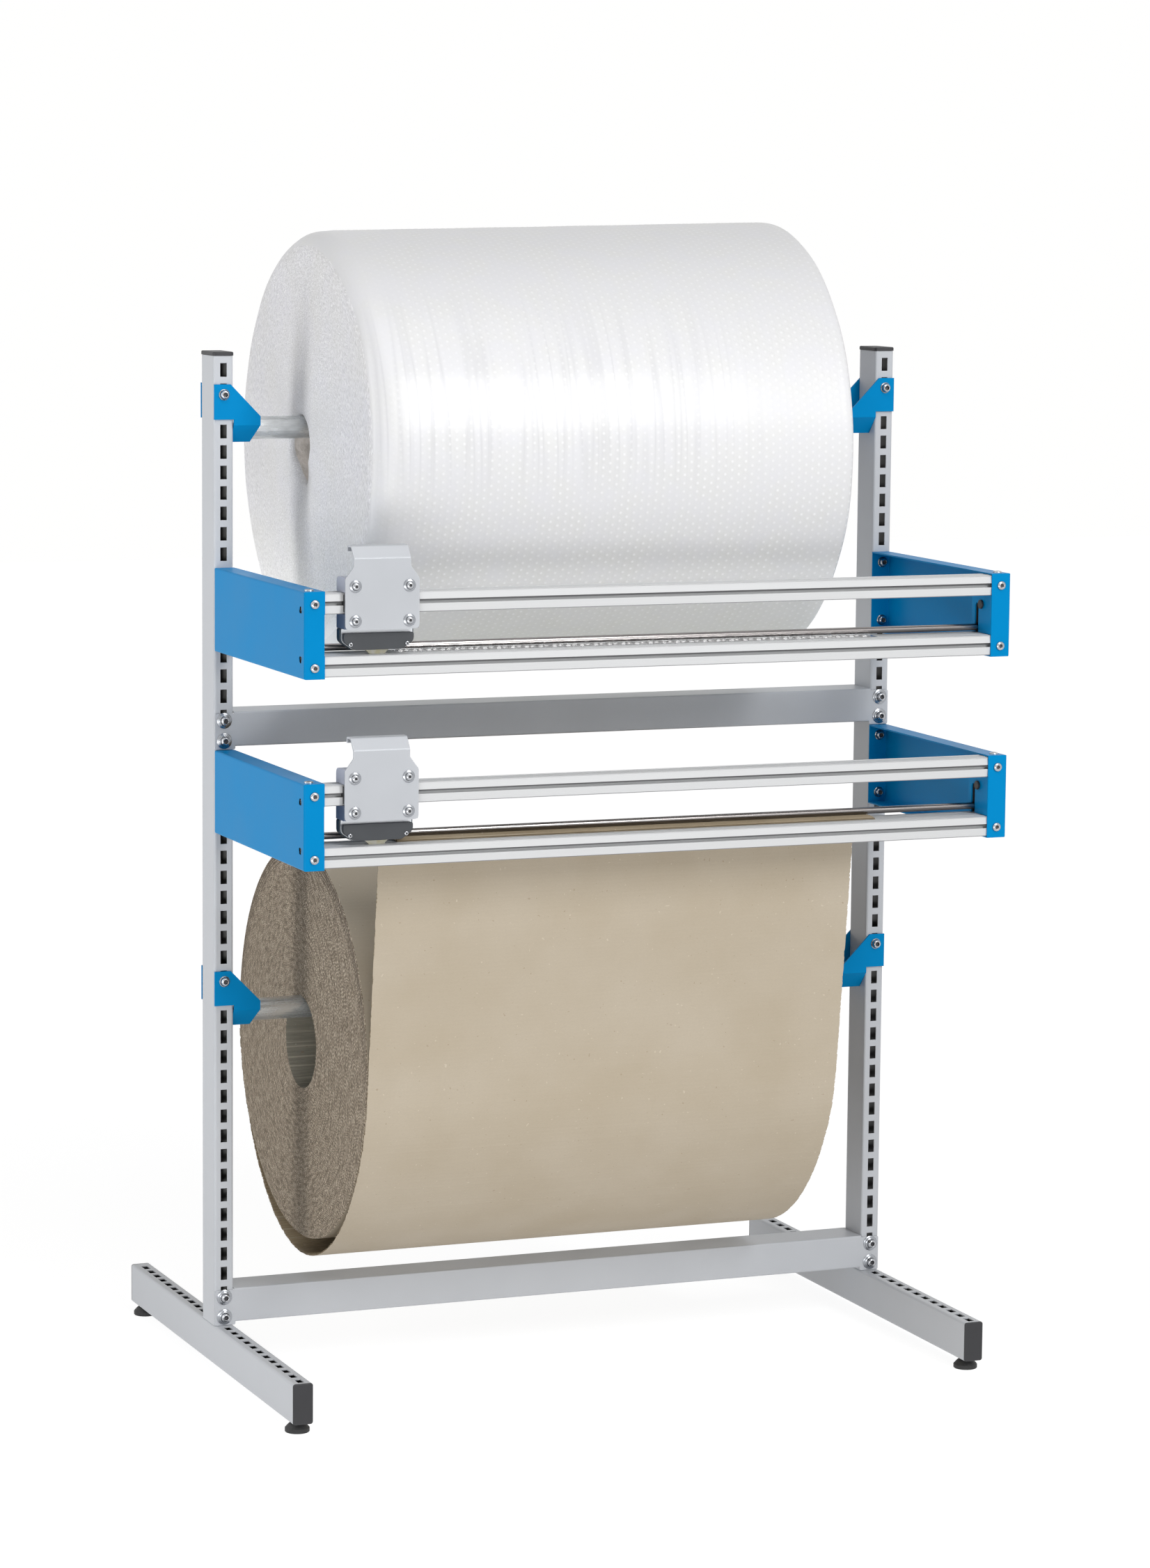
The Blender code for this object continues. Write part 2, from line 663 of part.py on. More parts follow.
def make_card_roll(name, board):
    """The tight roll of single-faced corrugated board."""
    centre = (0.0, PIPE_BACK, roll_height(LOWER_BRACKET_ROW, CARD_CORE_RADIUS))
    corners = [
        (CARD_LEFT, CARD_CORE_RADIUS),
        (CARD_LEFT, CARD_RADIUS),
        (CARD_RIGHT, CARD_RADIUS),
        (CARD_RIGHT, CARD_CORE_RADIUS),
    ]
    profile = rounded(corners, [0.0, CARD_EDGE, CARD_EDGE, 0.0], steps=1)
    return piece(name, turned(profile, "X", centre, ROLL_STEPS, closed=True), board, origin=centre)


def bubble_path(roll_radius):
    """Underside of the bubble sheet: from under the roll, over the back of the deck, to the cut."""
    centre = Vector((PIPE_BACK, roll_height(UPPER_BRACKET_ROW, BUBBLE_CORE_RADIUS)))
    radius = roll_radius + BUBBLE_LOOSE + BUBBLE_SHEET
    deck = deck_height(UPPER_UNIT_ROW) + CLEARANCE
    edge = Vector((BASE_BACK, deck))
    away = centre - edge
    leave = math.atan2(away.y, away.x) - math.asin(radius / away.length)
    touch = leave - math.pi / 2
    steps = round(BUBBLE_HUG / SHEET_STEP)
    path = arc(centre, radius, touch + BUBBLE_HUG, touch, steps)
    return path + [tuple(edge), (CUT_LINE + GUARD_SHEET, deck)]


def make_bubble_web(name, film):
    """The length of bubble sheet between the roll and the cut."""
    path_left = bubble_path(BUBBLE_RADIUS_LEFT)
    path_right = bubble_path(BUBBLE_RADIUS_RIGHT)
    return piece(name, sheet(path_left, path_right, -BUBBLE_SHEET, BUBBLE_LEFT, BUBBLE_RIGHT), film)


def card_path():
    """Inside of the loose outer turn, then the length that leans forward and folds over the deck."""
    centre = Vector((PIPE_BACK, roll_height(LOWER_BRACKET_ROW, CARD_CORE_RADIUS)))
    radius = CARD_RADIUS + CLEARANCE
    crest = deck_height(LOWER_UNIT_ROW) + CLEARANCE + CARD_LIFT + CARD_SHEET
    bend_centre = Vector((BASE_BACK + CARD_BEND_GAP, crest - CARD_BEND_RADIUS))
    away = bend_centre - centre
    lean = math.atan2(away.y, away.x) - math.acos(-(CARD_BEND_RADIUS + radius) / away.length)
    path = []
    turn_end = lean - math.pi
    steps = round((-CARD_START - turn_end) / SHEET_STEP)
    for step in range(steps + 1):
        angle = between(-CARD_START, turn_end, step / steps)
        below = math.pi / 2 - abs(angle + math.pi / 2)
        share = min(max((below - CARD_SAG_START) / (math.pi / 2 - CARD_SAG_START), 0.0), 1.0)
        reach = radius + CARD_SAG * (1 - math.cos(math.pi * share)) / 2
        path.append((centre.x + reach * math.cos(angle), centre.y + reach * math.sin(angle)))
    bend_steps = round((math.pi / 2 - lean) / (SHEET_STEP * 3))
    path += arc(bend_centre, CARD_BEND_RADIUS, lean, math.pi / 2, bend_steps)
    path.append((ROD_LINE, crest))
    path.append((CUT_LINE + GUARD_SHEET, crest - CARD_LIFT))
    return path


def make_card_web(name, board):
    """The loose outer turn of board and the length up to the cut."""
    path = card_path()
    return piece(name, sheet(path, path, CARD_SHEET, CARD_LEFT, CARD_RIGHT), board)


def make_panel(name, side, row, paint):
    """A folded side panel: web, flanges all round, and a return with the rod's slot."""
    bottom = panel_bottom(row)
    top = bottom + PANEL_HEIGHT
    deck = deck_height(row)
    front = -PANEL_DEPTH
    wall = PANEL_SHEET
    body = block_rounded(side, PANEL_INNER, PANEL_OUTER, (front, bottom), (-CLEARANCE, top), PANEL_BEND)
    outer = piece(name, body, paint)
    hollow_low, hollow_high = (front + wall, bottom + wall), (-CLEARANCE - wall, top - wall)
    inside = (PANEL_INNER - OVERRUN, PANEL_WEB_INNER)
    hollow = block_rounded(side, *inside, hollow_low, hollow_high, PANEL_BEND - wall)
    shaped(outer, [hollow])
    low = deck + CLEARANCE
    high = guide_top(row) - CELL - CLEARANCE
    back = front + RETURN_DEPTH
    plan = rounded(
        [
            (PANEL_INNER, back),
            (PANEL_INNER, front),
            (PANEL_INNER + wall * 2, front),
            (PANEL_INNER + wall * 2, front + wall),
            (PANEL_INNER + wall, front + wall),
            (PANEL_INNER + wall, back),
        ],
        [0.0, wall, 0.0, 0.0, 0.0, 0.0],
    )
    rounding = block(
        (min(side * (PANEL_INNER - OVERRUN), side * (PANEL_INNER + wall)), front - OVERRUN, low),
        (max(side * (PANEL_INNER - OVERRUN), side * (PANEL_INNER + wall)), front + wall + OVERRUN, high),
    )
    shaped(outer, [rounding])
    shaped(outer, [prism(mirrored(plan, side), "Z", low, high)], "UNION")
    half = ROD_SLOT_WIDTH / 2
    rod_top = deck + ROD_SLOT_RISE - half
    slot = [(ROD_LINE - half, low - OVERRUN), (ROD_LINE + half, low - OVERRUN)]
    slot += arc((ROD_LINE, rod_top), half, 0.0, math.pi, CORNER_STEPS * 2)
    through = sorted((side * (PANEL_INNER - OVERRUN), side * (PANEL_INNER + wall + OVERRUN)))
    tools = [prism(slot, "X", *through)]
    web = sorted((side * (PANEL_WEB_INNER - OVERRUN), side * (PANEL_OUTER + OVERRUN)))
    for height, way in ((LATCH_HOLE_HEIGHT_HIGH, 1), (LATCH_HOLE_HEIGHT_LOW, -1)):
        setback = front + LATCH_HOLE_SETBACK
        wide_end = bottom + height - way * LATCH_HOLE_RISE / 2
        narrow_end = wide_end + way * LATCH_HOLE_RISE
        opening = rounded(
            [
                (setback - LATCH_HOLE_WIDE / 2, wide_end),
                (setback + LATCH_HOLE_WIDE / 2, wide_end),
                (setback + LATCH_HOLE_NARROW / 2, narrow_end),
                (setback - LATCH_HOLE_NARROW / 2, narrow_end),
            ],
            LATCH_HOLE_CORNER,
        )
        tools.append(prism(opening, "X", *web))
    return shaped(outer, tools)


def block_rounded(side, inner, outer, low, high, radius):
    """A box whose four edges around its outer side are rounded, as bent sheet is."""
    left, right = sorted((side * inner, side * outer))
    bm = block((left, low[0], low[1]), (right, high[0], high[1]))
    edges = [edge for edge in bm.edges if all(abs(abs(vert.co.x) - outer) < CLEARANCE for vert in edge.verts)]
    bmesh.ops.bevel(bm, geom=edges, offset=radius, segments=CORNER_STEPS, affect="EDGES", profile=0.5)
    return bm


def grooved(depth, height, centres_by_side):
    """Outline of a profile with its front at zero, and a groove at each named centre."""
    groove = [
        (-GROOVE_MOUTH / 2, 0.0),
        (-GROOVE_MOUTH / 2, GROOVE_LIP),
        (-GROOVE_CHAMBER / 2, GROOVE_LIP),
        (-GROOVE_CHAMBER / 2, GROOVE_LIP + GROOVE_STRAIGHT),
        (-GROOVE_BASE / 2, GROOVE_DEPTH),
        (GROOVE_BASE / 2, GROOVE_DEPTH),
        (GROOVE_CHAMBER / 2, GROOVE_LIP + GROOVE_STRAIGHT),
        (GROOVE_CHAMBER / 2, GROOVE_LIP),
        (GROOVE_MOUTH / 2, GROOVE_LIP),
        (GROOVE_MOUTH / 2, 0.0),
    ]
    corners = [Vector((0.0, 0.0)), Vector((depth, 0.0)), Vector((depth, height)), Vector((0.0, height))]
    outline = []
    for index, centres in enumerate(centres_by_side):
        corner = corners[index]
        way = (corners[(index + 1) % 4] - corner).normalized()
        inward = Vector((-way.y, way.x))
        before = (corner - corners[index - 1]).normalized()
        middle = corner + (way - before) * CELL_CORNER
        start = math.atan2(-way.y, -way.x) + math.pi / 2
        outline += arc(middle, CELL_CORNER, start, start + math.pi / 2, CORNER_STEPS)
        for centre in centres:
            outline += [tuple(corner + way * (centre + along) + inward * deep) for along, deep in groove]
    return outline


def make_profile(name, depth, bottom, centres, aluminium):
    """A grooved aluminium profile from one side panel's web to the other's."""
    outline = [(PROFILE_FRONT + a, bottom + b) for a, b in grooved(depth, CELL, centres)]
    reach = PANEL_WEB_INNER - CLEARANCE
    return piece(name, prism(outline, "X", -reach, reach), aluminium)


def rod_height(row, sheet_top):
    """Height of a hold-down rod's axis when it lies on the sheet."""
    return deck_height(row) + CLEARANCE + sheet_top + CLEARANCE + ROD_RADIUS


def make_rod(name, height, chrome):
    """The loose rod that keeps the sheet on the base profile."""
    reach = PANEL_WEB_INNER - ROD_END_GAP
    centre = (0.0, ROD_LINE, height)
    return piece(name, pin("X", centre, ROD_RADIUS, -reach, reach, ROD_EDGE), chrome, origin=centre)


def make_magnet(name, side, row, plastic):
    """The round button beside the top of the slot, which holds the lifted rod."""
    centre = (0.0, MAGNET_SETBACK - PANEL_DEPTH, deck_height(row) + MAGNET_RISE)
    ends = sorted((side * (PANEL_INNER - CLEARANCE), side * (PANEL_INNER - CLEARANCE - MAGNET_LENGTH)))
    solid = pin("X", centre, MAGNET_DIAMETER / 2, ends[0], ends[1], MAGNET_EDGE, ROUND_STEPS)
    return piece(name, solid, plastic)


def make_carriage(label, row, finish):
    """All pieces of one cutting carriage, which slide together along the guide profile."""
    top = guide_top(row)
    low = top - CELL
    deck = deck_height(row)
    middle = CARRIAGE_INSET - HALF_WIDTH
    origin = (middle, PLATE_BACK, top - CELL / 2)
    half = PLATE_WIDTH / 2
    neck = NECK_WIDTH / 2

    # Front plate and its bent handle
    outline = rounded(
        [
            (middle - half, low - PLATE_DROP),
            (middle + half, low - PLATE_DROP),
            (middle + half, top + PLATE_SHOULDER),
            (middle + neck, top + PLATE_NECK),
            (middle + neck, top + HANDLE_BEND),
            (middle - neck, top + HANDLE_BEND),
            (middle - neck, top + PLATE_NECK),
            (middle - half, top + PLATE_SHOULDER),
        ],
        [PLATE_CORNER, PLATE_CORNER, PLATE_CORNER, PLATE_CORNER, 0.0, 0.0, PLATE_CORNER, PLATE_CORNER],
    )
    flat_plate = prism(outline, "Y", PLATE_FRONT, PLATE_BACK)
    plate = piece(f"carriage_plate_{label}", flat_plate, finish["plate"], origin=origin)
    crest = top + HANDLE_BEND + HANDLE_RISE
    back = PLATE_FRONT + HANDLE_SETBACK
    side_view = rounded(
        [
            (PLATE_FRONT, top + HANDLE_BEND - HANDLE_RADIUS * 2),
            (PLATE_FRONT, top + HANDLE_BEND),
            (back, crest),
            (back + HANDLE_CURL, crest),
            (back + HANDLE_CURL, crest - HANDLE_LIP),
        ],
        [0.0, HANDLE_RADIUS, HANDLE_CREST_RADIUS, HANDLE_CURL_RADIUS, 0.0],
    )
    handle = prism(folded(side_view, -PLATE_SHEET), "X", middle - neck, middle + neck)
    shaped(plate, [handle], "UNION")

    # Blocks above and below the guide profile, and the glide in front of it
    block_front = PLATE_BACK + CLEARANCE
    block_back = PLATE_BACK + BLOCK_SETBACK
    for word, bottom, radii in (
        ("upper", top + CLEARANCE, [BLOCK_EDGE, BLOCK_EDGE, BLOCK_CORNER, BLOCK_EDGE]),
        ("lower", low - CLEARANCE - BLOCK_HEIGHT, [BLOCK_EDGE, BLOCK_EDGE, BLOCK_EDGE, BLOCK_EDGE]),
    ):
        section = rounded(rectangle(block_front, bottom, block_back, bottom + BLOCK_HEIGHT), radii)
        solid = prism(section, "X", middle - half, middle + half)
        piece(f"carriage_{word}_block_{label}", solid, finish["block"], origin=origin)
    glide_back = PROFILE_FRONT - CLEARANCE
    centre_height = top - CELL / 2
    mouth = GROOVE_MOUTH / 2 - TONGUE_PLAY
    glide_outline = [
        (block_front, centre_height - GLIDE_HEIGHT / 2),
        (glide_back, centre_height - GLIDE_HEIGHT / 2),
        (glide_back, centre_height - mouth),
        (glide_back + TONGUE_DEPTH, centre_height - mouth),
        (glide_back + TONGUE_DEPTH, centre_height + mouth),
        (glide_back, centre_height + mouth),
        (glide_back, centre_height + GLIDE_HEIGHT / 2),
        (block_front, centre_height + GLIDE_HEIGHT / 2),
    ]
    glide = prism(glide_outline, "X", middle - GLIDE_WIDTH / 2, middle + GLIDE_WIDTH / 2)
    piece(f"carriage_glide_{label}", glide, finish["glide"], origin=origin)

    # Blade housing under the lower block: cover, blade carrier and body
    floor = deck + HOUSING_FLOAT
    ceiling = low - CLEARANCE - BLOCK_HEIGHT - CLEARANCE
    carrier_front = CUT_LINE - CARRIER_SHEET / 2
    carrier_back = CUT_LINE + CARRIER_SHEET / 2
    slabs = (
        ("blade_cover", COVER_WIDTH, floor + COVER_HEIGHT, carrier_front - CLEARANCE - COVER_DEPTH,
         carrier_front - CLEARANCE, "housing"),
        ("blade_carrier", CARRIER_WIDTH, ceiling, carrier_front, carrier_back, "steel"),
        ("blade_housing", HOUSING_WIDTH, ceiling, carrier_back + CLEARANCE,
         carrier_back + CLEARANCE + HOUSING_DEPTH, "housing"),
    )
    for word, width, high, near, far, look in slabs:
        side_x = width / 2
        foot_x = side_x - HOUSING_CHAMFER
        corner_z = floor + HOUSING_CHAMFER_RISE
        face = rounded(
            [
                (middle - foot_x, floor),
                (middle + foot_x, floor),
                (middle + side_x, corner_z),
                (middle + side_x, high),
                (middle - side_x, high),
                (middle - side_x, corner_z),
            ],
            [HOUSING_CORNER, HOUSING_CORNER, HOUSING_CORNER, HOUSING_EDGE, HOUSING_EDGE, HOUSING_CORNER],
        )
        piece(f"{word}_{label}", prism(face, "Y", near, far), finish[look], origin=origin)

    # Blade, and the guard that leads it along the groove
    guard_top = floor - CLEARANCE
    guard_tip = deck - GUARD_DIP
    guard_face = [
        (middle - GUARD_TIP / 2, guard_tip),
        (middle + GUARD_TIP / 2, guard_tip),
        (middle + GUARD_WIDTH / 2, guard_top),
        (middle - GUARD_WIDTH / 2, guard_top),
    ]
    guard_solid = prism(guard_face, "Y", CUT_LINE - GUARD_SHEET / 2, CUT_LINE + GUARD_SHEET / 2)
    guard = piece(f"blade_guard_{label}", guard_solid, finish["guard"], origin=origin)
    blade_low = guard_tip + GUARD_FLOOR
    play = BLADE_SLOT_PLAY
    slot = block(
        (middle - BLADE_WIDTH / 2 - play, CUT_LINE - BLADE_SHEET / 2 - play, blade_low - play),
        (middle + BLADE_WIDTH / 2 + play, CUT_LINE + BLADE_SHEET / 2 + play, guard_top + OVERRUN),
    )
    shaped(guard, [slot])
    blade_face = [
        (middle - BLADE_WIDTH / 2 + BLADE_POINT, blade_low),
        (middle + BLADE_WIDTH / 2 - BLADE_POINT, blade_low),
        (middle + BLADE_WIDTH / 2, blade_low + BLADE_POINT),
        (middle + BLADE_WIDTH / 2, guard_top),
        (middle - BLADE_WIDTH / 2, guard_top),
        (middle - BLADE_WIDTH / 2, blade_low + BLADE_POINT),
    ]
    blade = prism(blade_face, "Y", CUT_LINE - BLADE_SHEET / 2, CUT_LINE + BLADE_SHEET / 2)
    piece(f"blade_{label}", blade, finish["steel"], origin=origin)


def make_unit(label, row, rod_lift, finish):
    """One cutting unit: panels, profiles, rod, magnets and carriage."""
    cell_middle = CELL / 2
    both = [cell_middle, BASE_DEPTH - cell_middle]
    base_centres = (both, [cell_middle], both, [cell_middle])
    guide_centres = ([cell_middle], [cell_middle], [cell_middle], [cell_middle])
    base_low = deck_height(row) - CELL
    guide_low = guide_top(row) - CELL
    make_profile(f"base_profile_{label}", BASE_DEPTH, base_low, base_centres, finish["aluminium"])
    make_profile(f"guide_profile_{label}", CELL, guide_low, guide_centres, finish["aluminium"])
    make_rod(f"hold_down_rod_{label}", rod_height(row, rod_lift), finish["chrome"])
    for word, side in (("left", -1), ("right", 1)):
        make_panel(f"side_panel_{label}_{word}", side, row, finish["blue"])
        make_magnet(f"rod_magnet_{label}_{word}", side, row, finish["glide"])
    make_carriage(label, row, finish)


def make_stand():
    """Build every piece of the stand."""
    clear_scene()
    stand = bpy.data.objects.new("stand", None)
    bpy.context.scene.collection.objects.link(stand)
    stand.location = (0.0, STAND_SHIFT, FOOT_TOP)
    bpy.context.view_layer.update()

    finish = {
        "grey": surface("grey_paint", (0.60, 0.61, 0.64), 0.42),
        "blue": surface("blue_paint", (0.01, 0.25, 0.60), 0.30),
        "aluminium": surface("anodised_aluminium", (0.80, 0.81, 0.82), 0.35, 0.7),
        "steel": surface("blade_steel", (0.66, 0.67, 0.68), 0.28, 1.0),
        "pipe": surface("zinc_tube", (0.62, 0.64, 0.66), 0.40, 0.9),
        "chrome": surface("polished_rod", (0.75, 0.74, 0.72), 0.12, 1.0),
        "plate": surface("zinc_plate", (0.58, 0.59, 0.61), 0.45, 0.4),
        "block": surface("grey_block", (0.38, 0.41, 0.47), 0.50),
        "housing": surface("dark_housing", (0.055, 0.06, 0.065), 0.50),
        "glide": surface("black_plastic", (0.03, 0.03, 0.035), 0.50),
        "guard": surface("clear_guard", (0.85, 0.86, 0.78), 0.15, 0.0, 0.5),
        "bubble": surface("bubble_film", (0.72, 0.72, 0.75), 0.35),
        "board": surface("brown_board", (0.30, 0.24, 0.16), 0.85),
        "rubber": surface("black_foot", (0.03, 0.03, 0.03), 0.60),
    }
    for word, side in (("left", -1), ("right", 1)):
        make_post(f"post_{word}", side, finish["grey"])
        make_post_cap(f"post_cap_{word}", side, finish["glide"])
        make_foot(f"foot_rail_{word}", side, finish["grey"])
        for end, way, place in (("front", -1, leveller_places()[0]), ("back", 1, leveller_places()[1])):
            make_foot_cap(f"foot_cap_{end}_{word}", side, way, finish["glide"])
            make_leveller(f"levelling_foot_{end}_{word}", side, place, finish["rubber"])
        make_bracket(f"bracket_upper_{word}", side, UPPER_BRACKET_ROW, finish["blue"])
        make_bracket(f"bracket_lower_{word}", side, LOWER_BRACKET_ROW, finish["blue"])
    make_crossbar("crossbar_middle", MIDDLE_CROSSBAR_ROW, finish["grey"])
    make_crossbar("crossbar_bottom", BOTTOM_CROSSBAR_ROW, finish["grey"])
    make_pipe("roll_tube_upper", UPPER_BRACKET_ROW, finish["pipe"])
    make_pipe("roll_tube_lower", LOWER_BRACKET_ROW, finish["pipe"])
    make_bubble_roll("bubble_roll", finish["bubble"])
    make_bubble_web("bubble_web", finish["bubble"])
    make_card_roll("cardboard_roll", finish["board"])
    make_card_web("cardboard_web", finish["board"])
    make_unit("upper", UPPER_UNIT_ROW, BUBBLE_SHEET, finish)
    make_unit("lower", LOWER_UNIT_ROW, CARD_LIFT + CARD_SHEET, finish)


make_stand()
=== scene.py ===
import math
import random

import bmesh
import bpy
from mathutils import Matrix, Vector, noise


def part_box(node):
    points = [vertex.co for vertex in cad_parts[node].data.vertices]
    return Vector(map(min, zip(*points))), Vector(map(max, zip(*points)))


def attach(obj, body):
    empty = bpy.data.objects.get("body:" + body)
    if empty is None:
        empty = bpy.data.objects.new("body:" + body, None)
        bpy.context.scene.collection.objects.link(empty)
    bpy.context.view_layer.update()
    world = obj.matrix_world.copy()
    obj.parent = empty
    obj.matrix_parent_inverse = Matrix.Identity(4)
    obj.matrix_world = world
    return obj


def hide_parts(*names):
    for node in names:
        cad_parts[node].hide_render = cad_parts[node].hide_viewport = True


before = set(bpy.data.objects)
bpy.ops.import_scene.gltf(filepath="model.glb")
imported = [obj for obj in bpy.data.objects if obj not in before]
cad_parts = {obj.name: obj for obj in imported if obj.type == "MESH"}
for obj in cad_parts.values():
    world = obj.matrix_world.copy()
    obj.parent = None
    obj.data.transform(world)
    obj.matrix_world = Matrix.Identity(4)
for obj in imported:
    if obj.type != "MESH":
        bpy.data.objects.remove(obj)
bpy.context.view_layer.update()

print("frame loaded:", len(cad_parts), "nodes")

# places below are metres in the stand's own frame: mid-width, front of the posts, top of the foot rails
standOrigin = Vector((0, -0.007, 0.076))
units = {"upper": 1.019, "lower": 0.749}  # height of the inside of each side panel's floor


def at(x, y, z):
    return Vector((x, y, z)) + standOrigin


def shade(red, green, blue):
    # a colour as seen on screen, 0 to 255, as Blender's linear value
    return tuple(((v / 255 + 0.055) / 1.055) ** 2.4 if v > 10 else v / 3294.6 for v in (red, green, blue))


def addNode(tree, kind, inputs=None, **options):
    # a shader node whose inputs are linked to sockets or set to values
    made = tree.nodes.new("ShaderNode" + kind)
    for name, value in options.items():
        setattr(made, name, value)
    for name, value in (inputs or {}).items():
        if isinstance(value, bpy.types.NodeSocket):
            tree.links.new(value, made.inputs[name])
        else:
            made.inputs[name].default_value = value
    return made


def calc(tree, operation, *values):
    return addNode(tree, "Math", dict(enumerate(values)), operation=operation).outputs[0]


def product(tree, first, *others):
    for value in others:
        first = calc(tree, "MULTIPLY", first, value)
    return first


def feed(node, **sockets):
    # links values to the node's sockets
    for socket, value in sockets.items():
        node.id_data.links.new(value, node.inputs[socket.replace("_", " ")])


def splitPlace(tree, place):
    return addNode(tree, "SeparateXYZ", {0: place}).outputs


def grain(tree, place, scale, detail=2.0, stretch=(1, 1, 1), **more):
    if stretch != (1, 1, 1):
        place = addNode(tree, "Mapping", {"Vector": place, "Scale": stretch}).outputs[0]
    inputs = {"Vector": place, "Scale": scale, "Detail": detail, **more}
    return addNode(tree, "TexNoise", inputs).outputs["Fac"]


def remap(tree, value, low, high, newLow=0.0, newHigh=1.0):
    inputs = {"Value": value, "From Min": low, "From Max": high, "To Min": newLow, "To Max": newHigh}
    return addNode(tree, "MapRange", inputs).outputs[0]


def blendColors(tree, factor, first, second):
    made = addNode(tree, "Mix", {0: factor}, data_type="RGBA")
    for index, value in ((6, first), (7, second)):
        if isinstance(value, bpy.types.NodeSocket):
            tree.links.new(value, made.inputs[index])
        else:
            made.inputs[index].default_value = (*value, 1)
    return made.outputs[2]


def startMaterial(name, color, roughness, metallic=0.0, **sockets):
    # a new material with its node tree, its shader and the place on the object
    material = bpy.data.materials.new(name)
    material.use_nodes = True
    material.diffuse_color = (*color, 1)
    tree = material.node_tree
    shader = tree.nodes["Principled BSDF"]
    shader.inputs["Base Color"].default_value = (*color, 1)
    shader.inputs["Roughness"].default_value = roughness
    shader.inputs["Metallic"].default_value = metallic
    for socket, value in sockets.items():
        shader.inputs[socket.replace("_", " ")].default_value = value
    return material, tree, shader, addNode(tree, "TexCoord").outputs["Object"]


def roundedNormal(tree, radius):
    # the normal as if the piece's edges were rounded off
    return addNode(tree, "Bevel", {"Radius": radius}, samples=4).outputs[0]


def addBump(tree, shader, height, depth, strength, edge=0.0):
    inputs = {"Height": height, "Distance": depth, "Strength": strength}
    if edge:
        inputs["Normal"] = roundedNormal(tree, edge)
    feed(shader, Normal=addNode(tree, "Bump", inputs).outputs[0])


def edgeMask(tree, radius):
    # 1 on the edges of a piece, found by how far a rounded edge's normal leans away
    normals = {0: roundedNormal(tree, radius), 1: addNode(tree, "NewGeometry").outputs["Normal"]}
    lean = addNode(tree, "VectorMath", normals, operation="DOT_PRODUCT").outputs["Value"]
    return remap(tree, lean, 0.98, 0.80)  # from 11 to 37 degrees


def scaleColor(tree, color, share):
    return addNode(tree, "VectorMath", {0: color, 3: share}, operation="SCALE").outputs[0]


def insideMask(tree, place, hollows):
    # 1 inside the hollows, each given as (axis, low, high) ranges, where the mirrored sides count as one
    split = splitPlace(tree, place)
    mask = 0.0
    for ranges in hollows:
        inside = 1.0
        for axis, low, high in ranges:
            value = split[axis] if axis else calc(tree, "ABSOLUTE", split[axis])
            within = calc(tree, "COMPARE", value, (low + high) / 2, (high - low) / 2)
            inside = product(tree, inside, within)
        mask = calc(tree, "MAXIMUM", mask, inside)
    return mask


greyTone = shade(192, 195, 200)
blueTone = shade(0, 134, 196)
# painted shade for the dark insides of tubes and panels, seen through slots and holes
paintedInsideShade = shade(34, 33, 31)  # bare steel in the dark inside, seen through the slots
paintedGrooveShade = shade(144, 144, 146)  # the shaded part of a profile


def powderCoat(name, color, roughness, edgeLight, edge=0.0009, fleck=0.06, hollow=None, **sockets):
    # paint with fine pores, and a painted highlight along its edges
    material, tree, shader, place = startMaterial(name, color, roughness, **sockets)
    pores = grain(tree, place, 1100)
    cloud = grain(tree, place, 7, 4)
    bright = calc(tree, "MULTIPLY_ADD", pores, fleck, 1 - fleck / 2)
    bright = product(tree, bright, remap(tree, cloud, 0.3, 0.7, 0.97, 1.03))
    # painted highlight: the edges are made brighter, as where light catches a rounded edge
    paintedEdgeHighlight = calc(tree, "MULTIPLY_ADD", edgeMask(tree, edge * 1.6), edgeLight, 1.0)
    tint = scaleColor(tree, color, product(tree, bright, paintedEdgeHighlight))
    # painted shade inside the given hollows
    if hollow:
        tint = blendColors(tree, insideMask(tree, place, hollow), tint, paintedInsideShade)
    dulled = remap(tree, cloud, 0.3, 0.7, roughness - 0.04, roughness + 0.05)
    feed(shader, Base_Color=tint, Roughness=dulled)
    addBump(tree, shader, grain(tree, place, 600), 0.00012, 0.35, edge)
    return material


def drawnMetal(name, color, roughness, metallic, streak, depth, edge=0.0006, stain=0.0, hollow=None, **more):
    # fine lines along the profile or tube, as drawing and anodising leave them
    material, tree, shader, place = startMaterial(name, color, roughness, metallic, **more)
    lines = grain(tree, place, 1, 4, stretch=(3, 1400, 1400))
    cloud = grain(tree, place, 60, 4, stretch=(0.45, 1, 1))
    bright = calc(tree, "MULTIPLY_ADD", lines, streak, 1 - streak / 2)
    bright = product(tree, bright, remap(tree, cloud, 0.3, 0.7, 1 - stain, 1 + stain / 2))
    tint = scaleColor(tree, color, bright)
    # painted shade in the given hollows, such as the profiles' grooves and bottom edges
    if hollow:
        tint = blendColors(tree, insideMask(tree, place, hollow), tint, paintedGrooveShade)
    feed(shader, Base_Color=tint)
    drawn = remap(tree, lines, 0.2, 0.8, -0.06, 0.08)
    dulled = remap(tree, cloud, 0.3, 0.7, stain / 3, -stain / 3)
    feed(shader, Roughness=calc(tree, "ADD", calc(tree, "ADD", drawn, dulled), roughness))
    addBump(tree, shader, calc(tree, "MULTIPLY_ADD", cloud, stain * 6, lines), depth, 0.4, edge)
    return material


def mouldedPlastic(name, color, roughness):
    material, tree, shader, place = startMaterial(name, color, roughness)
    pores = grain(tree, place, 1500)
    paler = tuple(v * 1.35 + 0.003 for v in color)
    feed(shader, Base_Color=blendColors(tree, grain(tree, place, 30, 3), color, paler))
    feed(shader, Roughness=remap(tree, pores, 0.3, 0.7, roughness - 0.06, roughness + 0.08))
    addBump(tree, shader, pores, 0.0001, 0.5, 0.0006)
    return material
